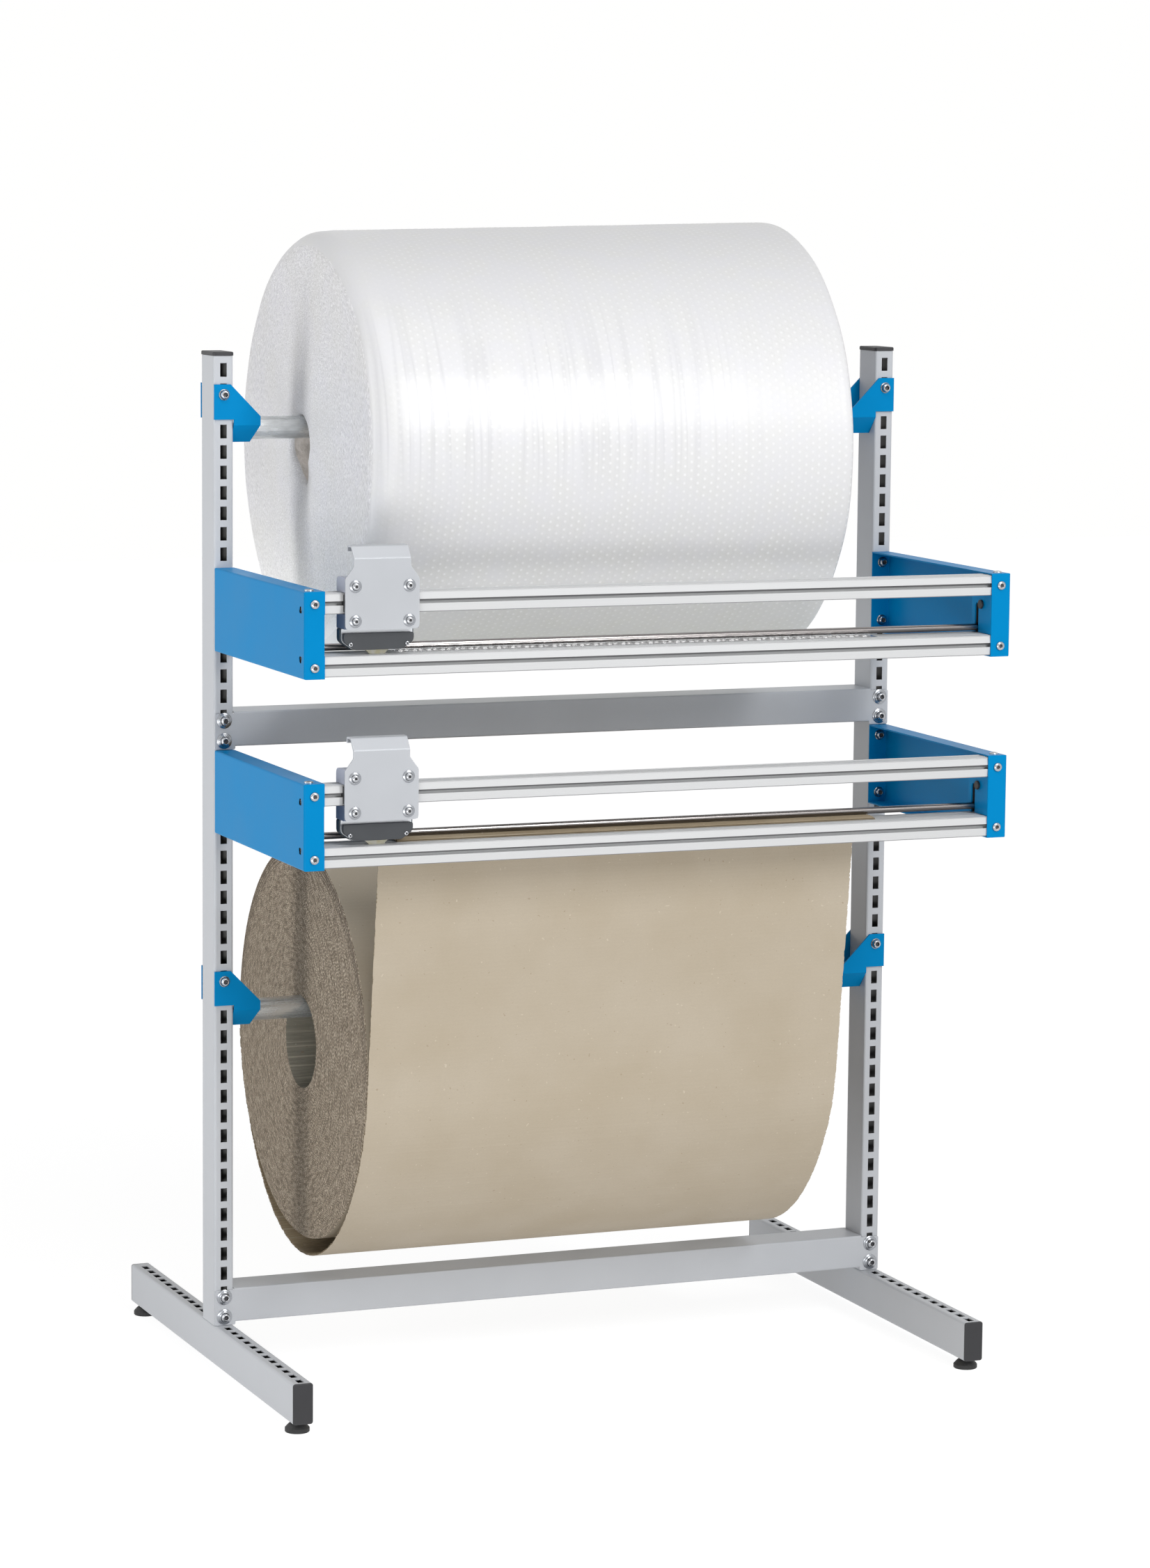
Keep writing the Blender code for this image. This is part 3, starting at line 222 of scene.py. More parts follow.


# the insides painted dark as shade, seen through slots and holes: ranges along X (0), Y (1) and Z (2) in
# metres
tubeInside = (0, 0.5216, 0.5484)
postHollow = [[tubeInside, (1, -0.0052, 0.0513)]]
railHollow = [[tubeInside, (2, 0.0177, 0.0742)]]
panelHollow = []
for floor in units.values():
    panelHollow.append([(0, 0.5212, 0.5482), (1, -0.4148, -0.3540), (2, floor + 0.0758, floor + 0.1946)])
    for z in (floor + 0.1008, floor + 0.1708):  # holes in the outer face
        panelHollow.append([(0, 0.5470, 0.5493), (1, -0.4075, -0.3935), (2, z - 0.0053, z + 0.0053)])

# painted shade on the top of each profile's front groove, and a thin line of painted shade along its bottom
# edge
grooveShade = []
for part in ("base_profile_upper", "base_profile_lower", "guide_profile_upper", "guide_profile_lower"):
    low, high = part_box(part)
    front, middle = low[1], (low[2] + high[2]) / 2
    grooveShade.append([(1, front + 0.0012, front + 0.0095), (2, middle - 0.0003, middle + 0.0068)])
    grooveShade.append([(1, front - 0.0005, front + 0.0030), (2, low[2] - 0.0005, low[2] + 0.0010)])

bluePowder = {"fleck": 0.03, "Specular_IOR_Level": 0.05}
blockPowder = {"fleck": 0.03, "edge": 0.0008}
greyPaint = powderCoat("greyPaint", greyTone, 0.38, 0.10)
postPaint = powderCoat("postPaint", greyTone, 0.38, 0.16, hollow=postHollow)
railPaint = powderCoat("railPaint", greyTone, 0.38, 0.12, hollow=railHollow)
bluePaint = powderCoat("bluePaint", blueTone, 0.34, 0.10, **bluePowder)
panelPaint = powderCoat("panelPaint", blueTone, 0.34, 0.10, hollow=panelHollow, **bluePowder)
platePaint = powderCoat("platePaint", shade(184, 187, 192), 0.34, 0.4, edge=0.0010, fleck=0.03, Metallic=0.2)
# one paint for both carriage blocks, painted lighter on the upper block and darker and bluer on the lower
# one, as light, shade and reflection
upperBlockPaintLit = powderCoat("upperBlockPaintLit", shade(172, 176, 190), 0.45, 0.12, **blockPowder)
lowerBlockPaintShaded = powderCoat("lowerBlockPaintShaded", shade(118, 127, 150), 0.45, 0.12, **blockPowder)
anodised = drawnMetal(
    "anodised", shade(210, 211, 212), 0.50, 0.06, 0.06, 0.00004, hollow=grooveShade, Specular_IOR_Level=0.2)
zincTube = drawnMetal("zincTube", shade(220, 223, 224), 0.27, 0.75, 0.09, 0.00008, stain=0.32)
polishedRod = drawnMetal("polishedRod", shade(142, 138, 137), 0.22, 1.0, 0.02, 0.00002, edge=0.0004)
screwZinc = drawnMetal("screwZinc", shade(176, 178, 182), 0.18, 1.0, 0.10, 0.00003, edge=0.0003)
washerZinc = drawnMetal("washerZinc", shade(158, 161, 166), 0.22, 1.0, 0.14, 0.00003, edge=0.0004)
bladeSteel = drawnMetal("bladeSteel", shade(214, 217, 221), 0.30, 0.9, 0.08, 0.00004, edge=0.0003)
coverPlastic = mouldedPlastic("coverPlastic", shade(50, 53, 57), 0.45)
housingPlastic = mouldedPlastic("housingPlastic", shade(44, 56, 64), 0.45)
socketShadow = mouldedPlastic("socketShadow", shade(58, 58, 62), 0.4)
blackPlastic = mouldedPlastic("blackPlastic", shade(38, 38, 41), 0.50)
footRubber = mouldedPlastic("footRubber", shade(30, 30, 31), 0.60)


def makeGuardPlastic():
    # clear plastic, yellowed in places
    material, tree, shader, place = startMaterial(
        "guardPlastic", shade(240, 238, 222), 0.25, IOR=1.5, Transmission_Weight=0.45)
    yellow = remap(tree, grain(tree, place, 90), 0.35, 0.65)
    tint = blendColors(tree, yellow, shade(246, 245, 236), shade(236, 230, 196))
    feed(shader, Base_Color=tint)
    addBump(tree, shader, grain(tree, place, 500), 0.00005, 0.4)
    return material


guardPlastic = makeGuardPlastic()
print("finishes made")

# which finish each node of the frame gets, by the start of its name
nodeFinishes = {
    "post_cap": blackPlastic, "post": postPaint, "foot_rail": railPaint, "foot_cap": blackPlastic,
    "levelling_foot": footRubber, "crossbar": greyPaint, "bracket": bluePaint, "side_panel": panelPaint,
    "roll_tube": zincTube, "base_profile": anodised, "guide_profile": anodised, "hold_down_rod": polishedRod,
    "rod_magnet": blackPlastic, "carriage_plate": platePaint, "carriage_upper_block": upperBlockPaintLit,
    "carriage_lower_block": lowerBlockPaintShaded, "carriage_glide": blackPlastic, "blade_cover": coverPlastic,
    "blade_housing": housingPlastic, "blade_carrier": bladeSteel, "blade_guard": guardPlastic,
    "blade": bladeSteel,
}


for name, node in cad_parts.items():
    start = max((s for s in nodeFinishes if name.startswith(s)), key=len, default=None)
    if start:
        node.data.materials.clear()
        node.data.materials.append(nodeFinishes[start])


def addObject(name, data):
    made = bpy.data.objects.new(name, data)
    bpy.context.scene.collection.objects.link(made)
    return made


def addMesh(name, bm):
    mesh = bpy.data.meshes.new(name)
    bm.to_mesh(mesh)
    bm.free()
    return addObject(name, mesh)


def finishPiece(name, bm, materials, body, sharpAngle=35.0, origin=None, closed=True):
    # makes a piece of the mesh, which is drawn about its origin where one is given
    if closed:
        bmesh.ops.recalc_face_normals(bm, faces=bm.faces[:])
    piece = addMesh(name, bm)
    for material in materials:
        piece.data.materials.append(material)
    piece.data.shade_smooth()
    piece.data.set_sharp_from_angle(angle=math.radians(sharpAngle))
    if origin is not None:
        piece.location = origin
    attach(piece, body)
    return piece


def bridge(bm, before, ring, finish=0):
    # faces from a ring of points to the next one, or to a single point
    for step in range(len(before)):
        after = (step + 1) % len(before)
        others = ring if len(ring) == 1 else (ring[after], ring[step])
        bm.faces.new((before[step], before[after], *others)).material_index = finish


def arcPoints(centre, radius, start, end, steps):
    angles = [start + (end - start) * i / steps for i in range(steps + 1)]
    return [(centre[0] + radius * math.cos(a), centre[1] + radius * math.sin(a)) for a in angles]


# kinds of screw, with one washer, two or none: radii and heights in metres
screwKinds = {
    "frameBolt": dict(washer=0.0118, thick=0.0018, second=0.0090, head=0.0066, high=0.0060, socket=0.0031),
    "bracketBolt": dict(washer=0.0082, thick=0.0016, head=0.0066, high=0.0058, socket=0.0031),
    "panelScrew": dict(head=0.0066, high=0.0036, socket=0.0025),
    "flangeScrew": dict(head=0.0066, high=0.0024, socket=0.0025),
    "plateScrew": dict(washer=0.0090, thick=0.0016, head=0.0054, high=0.0034, socket=0.0018),
    "coverScrew": dict(head=0.0033, high=0.0020, socket=0.0013),
}

# rows of screws, the same left and right: kind, distance from the middle, Y, heights over the floor of
# the unit, and the way they point
ahead, upward = (0, -1, 0), (0, 0, 1)
frameRows = (
    ("frameBolt", 0.535, -0.0023, (0.9135, 0.8835, 0.0435, 0.0135), ahead),
    ("bracketBolt", 0.535, -0.0033, (1.3935, 0.5235), ahead),
)
panelRows = (
    ("panelScrew", 0.534, -0.410, (0.0135, 0.103), ahead),
    ("bracketBolt", 0.536, -0.0023, (0.0145, 0.1045), ahead),
    ("flangeScrew", 0.5365, -0.392, (0.1207,), upward),
)
plateRow = ("plateScrew", 0.040, -0.417, (0.1273, 0.0783), ahead)
coverScrews = {"reach": 0.042, "height": 0.0445}
carriageX = -0.4365


def screwProfile(size):
    # radius, height, whether the point lies on the socket's hexagon, and the finish of the band below it
    points = []
    height = 0.0
    for radius in (size.get("washer"), size.get("second")):
        if radius:
            chamfer = size["thick"] * 0.35
            points += [(radius, height, 0, 1), (radius, height + size["thick"] * 0.5, 0, 1)]
            points.append((radius - chamfer, height + size["thick"] * 0.72, 0, 1))
            height += size["thick"]
    head, high, socket = size["head"], size["high"], size["socket"]
    if height:  # the shadow line where the head stands on its washer
        points += [(head + 0.0006, height, 0, 1), (head + 0.0004, height - 0.0004, 0, 2)]
    points.append((head, height, 0, 0))
    rim = socket * 1.4
    for step in range(6):  # domed top
        angle = math.radians(15 + 15 * step)
        lift = height + high * (0.35 + 0.65 * math.sin(angle))
        points.append((rim + (head - rim) * math.cos(angle), lift, 0, 0))
    top = height + high
    points += [(socket * 1.16, top, 0, 0), (socket, top - high * 0.08, 1, 0)]
    points += [(socket * 0.97, top - high * 0.62, 1, 2), (0.0, top - high * 0.75, 0, 2)]
    return points


def addScrew(bm, spot, direction, kind, turn):
    direction = Vector(direction).normalized()
    across = direction.orthogonal().normalized()
    up = direction.cross(across)
    before = None
    for radius, along, hexagon, finish in screwProfile(screwKinds[kind]):
        ring = []
        for step in range(24 if radius else 1):
            angle = math.tau * step / 24
            reach = radius / math.cos((angle % (math.pi / 3)) - math.pi / 6) if hexagon else radius
            side = across * math.cos(angle + turn) + up * math.sin(angle + turn)
            ring.append(bm.verts.new(spot + direction * along + side * reach))
        if before:
            bridge(bm, before, ring, finish)
        before = ring


def makeScrews():
    rng = random.Random(4)

    def makeGroup(name, rows, middle, floor, body):
        bm = bmesh.new()
        for side in (-1, 1):
            for kind, reach, y, heights, direction in rows:
                for z in heights:
                    addScrew(bm, at(middle + side * reach, y, floor + z), direction, kind, rng.random())
        finishPiece(name, bm, [screwZinc, washerZinc, socketShadow], body)

    makeGroup("frameBolts", frameRows, 0, 0, "frame")
    for unit, floor in units.items():
        makeGroup("panelScrews_" + unit, panelRows, 0, floor, "frame")
        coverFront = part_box("blade_cover_" + unit)[0][1] - standOrigin.y
        coverRow = ("coverScrew", coverScrews["reach"], coverFront, (coverScrews["height"],), ahead)
        makeGroup("carriageScrews_" + unit, (plateRow, coverRow), carriageX, floor, "carriage_" + unit)


makeScrews()
print("screws made")

# black arches behind the slots that the hold-down rods lift in, put there as painted shade that darkens the
# slots
slotShade = {
    "y": -0.362, "inner": 0.0058, "outer": 0.0068,  # middle and the two radii of the wall
    "near": 0.5213, "far": 0.5470, "bottom": 0.0306, "bend": 0.0685,
}


def shadeArch(bm, side, floor, radius, x):
    # a row of points that goes up, over the bend and down again
    size = slotShade
    points = [(-radius, size["bottom"])]
    points += arcPoints((0, size["bend"]), radius, math.pi, 0, 10)
    points.append((radius, size["bottom"]))
    return [bm.verts.new(at(side * x, size["y"] + y, floor + z)) for y, z in points]


def makeSlotShades():
    # an arched tunnel, open towards the roll and closed at its far end
    near, far, inner, outer = (slotShade[name] for name in ("near", "far", "inner", "outer"))
    for unit, floor in units.items():
        bm = bmesh.new()
        for side in (-1, 1):
            outerNear, outerFar = (shadeArch(bm, side, floor, outer, x) for x in (near, far))
            innerNear, innerFar = (shadeArch(bm, side, floor, inner, x) for x in (near, far - outer + inner))
            for first, second in ((outerNear, outerFar), (innerNear, innerFar), (outerNear, innerNear)):
                for i in range(len(first) - 1):
                    bm.faces.new((first[i], first[i + 1], second[i + 1], second[i]))
            bm.faces.new(outerFar)
            bm.faces.new(innerFar)
            for end in (0, -1):
                bm.faces.new((outerNear[end], innerNear[end], innerFar[end], outerFar[end]))
            bm.faces.new((innerFar[0], innerFar[-1], outerFar[-1], outerFar[0]))
        finishPiece("rodSlotShades_" + unit, bm, [blackPlastic], "frame")


makeSlotShades()
print("slot liners made")

# the roll of bubble film
bubbleFilm = {
    "axisY": 0.030, "axisZ": 1.31615, "left": -0.400, "right": 0.345, "bore": 0.0445,
    "radiusLeft": 0.316, "radiusRight": 0.331, "mouth": 0.009, "softEdge": 0.034, "firmEdge": 0.008,
    "pitch": 0.0123, "column": 0.01065, "rows": 164, "raise": 0.0004,  # bubbles, with how many go round
    "sag": 0.0016, "bulge": 0.009, "bulgeReach": 0.22, "dent": 0.009, "dentReach": 0.042,  # unevenly wound
    "droop": 0.012, "pinch": 0.010, "mouthReach": 0.06,  # how far the hole's mouth gives way
    "domeReach": 0.0050, "domeHeight": 0.00032, "paintedGlintSpot": (0.0003, 0.0028),  # bubbles drawn by the finish
    "creases": 0.0003, "waves": 0.0016, "wrinkles": 0.00022, "creaseShade": 0.34,
    "creaseEnd": 0.15, "creaseLow": -0.06, "creaseHigh": 0.24,
    # strengths of the painted glow on the roll's face, ends and bore
    "faceGlow": 0.31, "endGlow": 0.42, "boreGlow": 0.20,
}


def paintedGlowThrough(tree, shader, height, most):
    # a painted glow standing in for light that comes through the turns, stronger towards the bottom where the
    # roll is in its own shade
    share = remap(tree, height, 0.0, -0.30)
    feed(shader, Emission_Strength=product(tree, share, share, most))
    shader.inputs["Emission Color"].default_value = (*shade(226, 228, 219), 1)


def aroundAxis(tree, place):
    # distance from a roll's axis, angle about it and height over it
    y, z = splitPlace(tree, place)[1:]
    radius = calc(tree, "SQRT", calc(tree, "ADD", product(tree, y, y), product(tree, z, z)))
    return radius, calc(tree, "ARCTAN2", z, y), z


def makeFilmFace():
    # a lattice of bubbles drawn from the piece's own map, counted in bubbles
    film = bubbleFilm
    gloss = dict(IOR=1.48, Specular_IOR_Level=1.0, Coat_Weight=0.30, Coat_Roughness=0.22)
    material, tree, shader, place = startMaterial("bubbleFilmWound", shade(232, 233, 236), 0.55, **gloss)
    split = splitPlace(tree, addNode(tree, "UVMap", uv_map="bubbleMap").outputs[0])

    def nearest(shift):
        # distance to the nearest bubble's middle in every second column
        squares = []
        for axis, size in ((0, film["column"] * 2), (1, film["pitch"])):
            folded = calc(tree, "FRACT", calc(tree, "ADD", split[axis], 1000.5 + shift))
            off = product(tree, calc(tree, "SUBTRACT", folded, 0.5), size)
            squares.append(product(tree, off, off))
        return calc(tree, "SQRT", calc(tree, "ADD", *squares))

    distance = calc(tree, "MINIMUM", nearest(0.0), nearest(0.5))
    fall = calc(tree, "POWER", calc(tree, "DIVIDE", distance, film["domeReach"]), 2.2)
    dome = calc(tree, "SQRT", calc(tree, "MAXIMUM", calc(tree, "SUBTRACT", 1.0, fall), 0.0))
    paintedGlintSpot = remap(tree, distance, *film["paintedGlintSpot"], 1.0, 0.0)
    x, _, z = splitPlace(tree, place)
    # creases wound in round the roll, over the front of its left half, with painted shade along them
    onLeft = remap(tree, x, film["creaseEnd"] + 0.08, film["creaseEnd"] - 0.12, 0.04, 1.0)
    overLow = remap(tree, z, film["creaseLow"], 0.02)
    strained = product(tree, onLeft, overLow, remap(tree, z, 0.12, film["creaseHigh"], 1.0, 0.0))
    line = grain(tree, place, 1, 1, stretch=(58, 2.0, 2.0))
    ridge = product(tree, calc(tree, "ABSOLUTE", calc(tree, "SUBTRACT", line, 0.5)), 9.0)
    ridge = calc(tree, "MAXIMUM", calc(tree, "SUBTRACT", 1.0, ridge), 0.0)
    ridge = product(tree, calc(tree, "POWER", ridge, 1.2), strained)
    soft = product(tree, grain(tree, place, 1, 2, stretch=(48, 2.8, 2.8)), strained)
    fine = grain(tree, place, 520)
    blur = grain(tree, place, 26, 3)
    firm = remap(tree, blur, 0.35, 0.65, 0.35, 1.0)  # some bubbles are flatter
    height = product(tree, dome, firm, film["domeHeight"])
    for value, depth in ((ridge, -film["creases"]), (soft, film["waves"]), (fine, film["wrinkles"])):
        height = calc(tree, "ADD", height, product(tree, value, depth))
    addBump(tree, shader, height, 1.0, 0.55)
    cloudy = remap(tree, blur, 0.35, 0.65, 0.0, 0.35)
    tint = blendColors(tree, cloudy, shade(220, 220, 223), shade(221, 221, 216))
    # painted shade along the creases
    tint = blendColors(tree, product(tree, ridge, film["creaseShade"]), tint, shade(186, 186, 190))
    # painted glints: a bright dot on each bubble's crown, stronger towards the bottom and fading near the
    # left edge
    lower = remap(tree, z, 0.06, -0.16, 0.45, 0.9)
    inward = remap(tree, x, film["left"] + 0.02, film["left"] + 0.08, 0.2, 1.0)
    paintedGlint = product(tree, paintedGlintSpot, firm, lower, inward)
    tint = blendColors(tree, paintedGlint, tint, shade(248, 248, 250))
    feed(shader, Base_Color=tint)
    paintedGlowThrough(tree, shader, z, film["faceGlow"])
    feed(shader, Roughness=remap(tree, fine, 0.3, 0.7, 0.50, 0.62))
    return material


def makeFilmEnds():
    # the wound edges of the film: short threads that follow the turns, with painted glints on them
    material, tree, shader, place = startMaterial("filmEnds", shade(226, 226, 228), 0.45)
    radius, angle, z = aroundAxis(tree, place)
    wobble = product(tree, grain(tree, place, 70, 3), 0.016)
    turned = addNode(tree, "CombineXYZ", {
        0: product(tree, calc(tree, "ADD", radius, wobble), 560),
        1: product(tree, calc(tree, "ADD", angle, wobble), 36),
    }).outputs[0]
    loose = grain(tree, turned, 1, Distortion=1.1)
    needle = addNode(tree, "TexVoronoi", {"Vector": turned, "Scale": 0.7}, voronoi_dimensions="2D")
    paintedEndGlint = remap(tree, needle.outputs["Distance"], 0.34, 0.18)
    paintedEndGlint = product(tree, paintedEndGlint, remap(tree, grain(tree, place, 90), 0.4, 0.6, 0.3, 1.0))
    speck = grain(tree, place, 640)
    cloud = grain(tree, place, 12, 3)
    thread = remap(tree, loose, 0.35, 0.6)
    tint = blendColors(tree, thread, shade(206, 206, 209), shade(232, 231, 236))
    tint = blendColors(tree, remap(tree, cloud, 0.35, 0.65, 0.0, 0.35), tint, shade(220, 219, 212))
    tint = blendColors(tree, paintedEndGlint, tint, shade(254, 254, 255))
    feed(shader, Base_Color=tint)
    paintedGlowThrough(tree, shader, z, bubbleFilm["endGlow"])
    feed(shader, Roughness=remap(tree, paintedEndGlint, 0.0, 1.0, 0.5, 0.2))
    addBump(tree, shader, calc(tree, "MULTIPLY_ADD", speck, 0.35, loose), 0.0011, 0.55)
    return material


def makeFilmBore():
    # the inside of the roll, with a painted glow standing in for light that comes through the turns
    glow = {"Emission_Strength": bubbleFilm["boreGlow"]}
    material, tree, shader, place = startMaterial("filmBore", shade(224, 214, 208), 0.5, **glow)
    cloud = grain(tree, place, 45, 4)
    mottled = remap(tree, cloud, 0.35, 0.65)
    tint = blendColors(tree, mottled, shade(170, 166, 161), shade(206, 199, 193))
    feed(shader, Base_Color=tint, Emission_Color=tint)
    addBump(tree, shader, calc(tree, "ADD", cloud, grain(tree, place, 160)), 0.004, 0.6)
    return material


def lathe(profile, segments, mapName, countV, move):
    # a closed ring of rings round X, each (x, radius, finish, map place along x),
    # where move gives each point's own x and radius
    bm = bmesh.new()
    layer = bm.loops.layers.uv.new(mapName)
    rings = []
    for index, (x, radius, _, _) in enumerate(profile):
        ring = []
        for step in range(segments):
            angle = math.tau * step / segments
            along, reach = move(index, step, x, radius, angle)
            ring.append(bm.verts.new((along, reach * math.cos(angle), reach * math.sin(angle))))
        rings.append(ring)
    for index in range(len(rings)):
        after = (index + 1) % len(rings)
        near, far = profile[index][3], profile[after][3]
        for step in range(segments):
            turned = (step + 1) % segments
            corners = (rings[index][step], rings[after][step], rings[after][turned], rings[index][turned])
            face = bm.faces.new(corners)
            face.material_index = profile[after][2]
            for loop, u, v in zip(face.loops, (near, far, far, near), (step, step, step + 1, step + 1)):
                loop[layer].uv = (u, v / segments * countV)
    return bm


def bubbleRollProfile():
    # the roll's cut in half, from the left mouth of its hole over the outside to the right one
    film = bubbleFilm
    left, right, bore, half = film["left"], film["right"], film["bore"], film["column"] / 2
    soft, firm, mouth = film["softEdge"], film["firmEdge"], film["mouth"]
    leftEnd, rightEnd, inner = film["radiusLeft"] - soft, film["radiusRight"] - firm, bore + mouth
    points = [(x, r, 1) for x, r in arcPoints((left + mouth, inner), mouth, math.pi * 1.5, math.pi, 6)]
    points += [(left, inner + (leftEnd - inner) * i / 22, 1) for i in range(1, 22)]
    for x, r in arcPoints((left + soft, leftEnd), soft, math.pi, math.pi / 2, 12):
        points.append((x, r, 1 if x < left + soft * 0.12 else 0))
    first, last = math.ceil((left + soft) / half) + 1, math.floor((right - firm) / half) - 1
    start = len(points)
    for i in range(first, last + 1):
        share = (i * half - left) / (right - left)
        points.append((i * half, film["radiusLeft"] + (film["radiusRight"] - film["radiusLeft"]) * share, 0))
    outside = (start, len(points), first)
    points += [(x, r, 0) for x, r in arcPoints((right - firm, rightEnd), firm, math.pi / 2, 0, 5)]
    points += [(right, rightEnd - (rightEnd - inner) * i / 16, 1) for i in range(1, 16)]
    points += [(x, r, 1) for x, r in arcPoints((right - mouth, inner), mouth, 0, -math.pi / 2, 6)]
    points[0] = (*points[0][:2], 2)
    return points, outside


def makeBubbleRoll():
    film = bubbleFilm
    left, right, bore = film["left"], film["right"], film["bore"]
    points, (start, end, first) = bubbleRollProfile()
    tangent = points[start][0]
    mapped = []
    for index, (x, r, finish) in enumerate(points):  # the map follows the surface over the soft corner
        place = x
        if index < start:
            path = [Vector(p[:2]) for p in points[index:start + 1]]
            place = tangent - sum((b - a).length for a, b in zip(path, path[1:]))
        mapped.append((x, r, finish, place / (film["column"] * 2)))

    def unevenPoint(index, step, x, radius, angle):
        place = Vector((x * 9, math.cos(angle) * 1.1, math.sin(angle) * 1.1))
        inner = max(0.0, 1 - (radius - bore) / film["bulgeReach"])
        down = max(0.0, -math.sin(angle + 0.12)) ** 3
        near = math.exp(-((radius - bore) / film["dentReach"]) ** 2)
        if x < (left + right) / 2:
            x -= film["bulge"] * inner * inner * (3 - 2 * inner)
            x += near * down * film["dent"]
        x += 0.0015 * noise.noise(place * 4) * min(1.0, (radius - bore) / 0.02)
        if radius < bore + film["mouthReach"]:  # the mouth hangs down and closes in from both sides
            fade = 1 - (radius - bore) / film["mouthReach"]
            below = angle - math.pi * 1.5
            pinch = math.sin(2 * below) ** 2 if math.cos(below) > 0 else 0.0
            pinch *= film["pinch"] * (1.4 if below < 0 else 0.8)
            radius += (down * film["droop"] - pinch) * fade
        if radius > bore + 0.2:
            radius -= film["raise"] + film["sag"] * (0.5 + 0.5 * noise.noise(place))
        if start <= index < end:
            column = first + index - start
            if column % 2 == 0 and (step - column // 2) % 2 == 0:
                radius += film["raise"]
        return x, radius

    finishes = [makeFilmFace(), makeFilmEnds(), makeFilmBore()]
    bm = lathe(mapped, film["rows"] * 2, "bubbleMap", film["rows"], unevenPoint)
    centre = at(0, film["axisY"], film["axisZ"])
    roll = finishPiece("bubbleRoll", bm, finishes, "roll_upper", 50, origin=centre)
    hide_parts("bubble_roll")


makeBubbleRoll()
print("bubble roll made")

# the length of bubble film from the roll to the cut
filmLength = {
    "loose": 0.003, "hug": 16.0, "deck": 1.0493, "deckBack": -0.3477, "cut": -0.3887, "ragged": 0.0016,
    "columns": 140, "margin": 0.005, "endMargin": 0.006, "dome": 0.0026, "domeRadius": 0.0046,
    "foot": 0.00022, "lift": 0.0002,  # the bubbles' feet and the film lie this far over its path
    "rod": (-0.381, -0.357), "pressed": 0.0016, "spring": 1.5,  # under the hold-down rod, and in front of it
}


def makeClearFilm():
    material, tree, shader, place = startMaterial("bubbleFilmClear", shade(240, 241, 241), 0.08, IOR=1.45)
    haze = grain(tree, place, 55, 3)
    feed(shader, Transmission_Weight=remap(tree, haze, 0.35, 0.65, 0.42, 0.78))
    tint = blendColors(tree, grain(tree, place, 18), shade(226, 227, 228), shade(242, 242, 243))
    feed(shader, Base_Color=tint)
    addBump(tree, shader, grain(tree, place, 380), 0.0003, 0.5)
    return material


def filmPath(rollRadius):
    # a little way round the roll, straight down to the deck and over it to the cut
    film, web = bubbleFilm, filmLength
    centre = Vector((film["axisY"], film["axisZ"]))
    radius = rollRadius + web["loose"]
    edge = Vector((web["deckBack"], web["deck"]))
    away = centre - edge
    touch = math.atan2(away.y, away.x) - math.asin(radius / away.length) - math.pi / 2
    path = [Vector(p) for p in arcPoints(centre, radius, touch + math.radians(web["hug"]), touch, 12)]
    last = path[-1]
    path += [last.lerp(edge, i / 12) for i in range(1, 13)]
    path += [Vector((edge.x + (web["cut"] - edge.x) * i / 6, web["deck"])) for i in range(1, 7)]
    return path


def addDome(bm, spot, way, high):
    # a bubble that stands on the film: three rings of eight points and a top
    web = filmLength
    up = way.cross(Vector((1, 0, 0)))
    up = up if up.z > 0 else -up
    before = None
    for share, lift in ((1.0, web["foot"] / high), (0.86, 0.62), (0.5, 0.93)):
        ring = []
        for step in range(8):
            angle = math.tau * step / 8
            side = Vector((math.cos(angle), 0, 0)) + way * math.sin(angle)
            ring.append(bm.verts.new(spot + side * web["domeRadius"] * share + up * (high * lift)))
        if before:
            bridge(bm, before, ring)
        before = ring
    bridge(bm, before, [bm.verts.new(spot + up * high)])


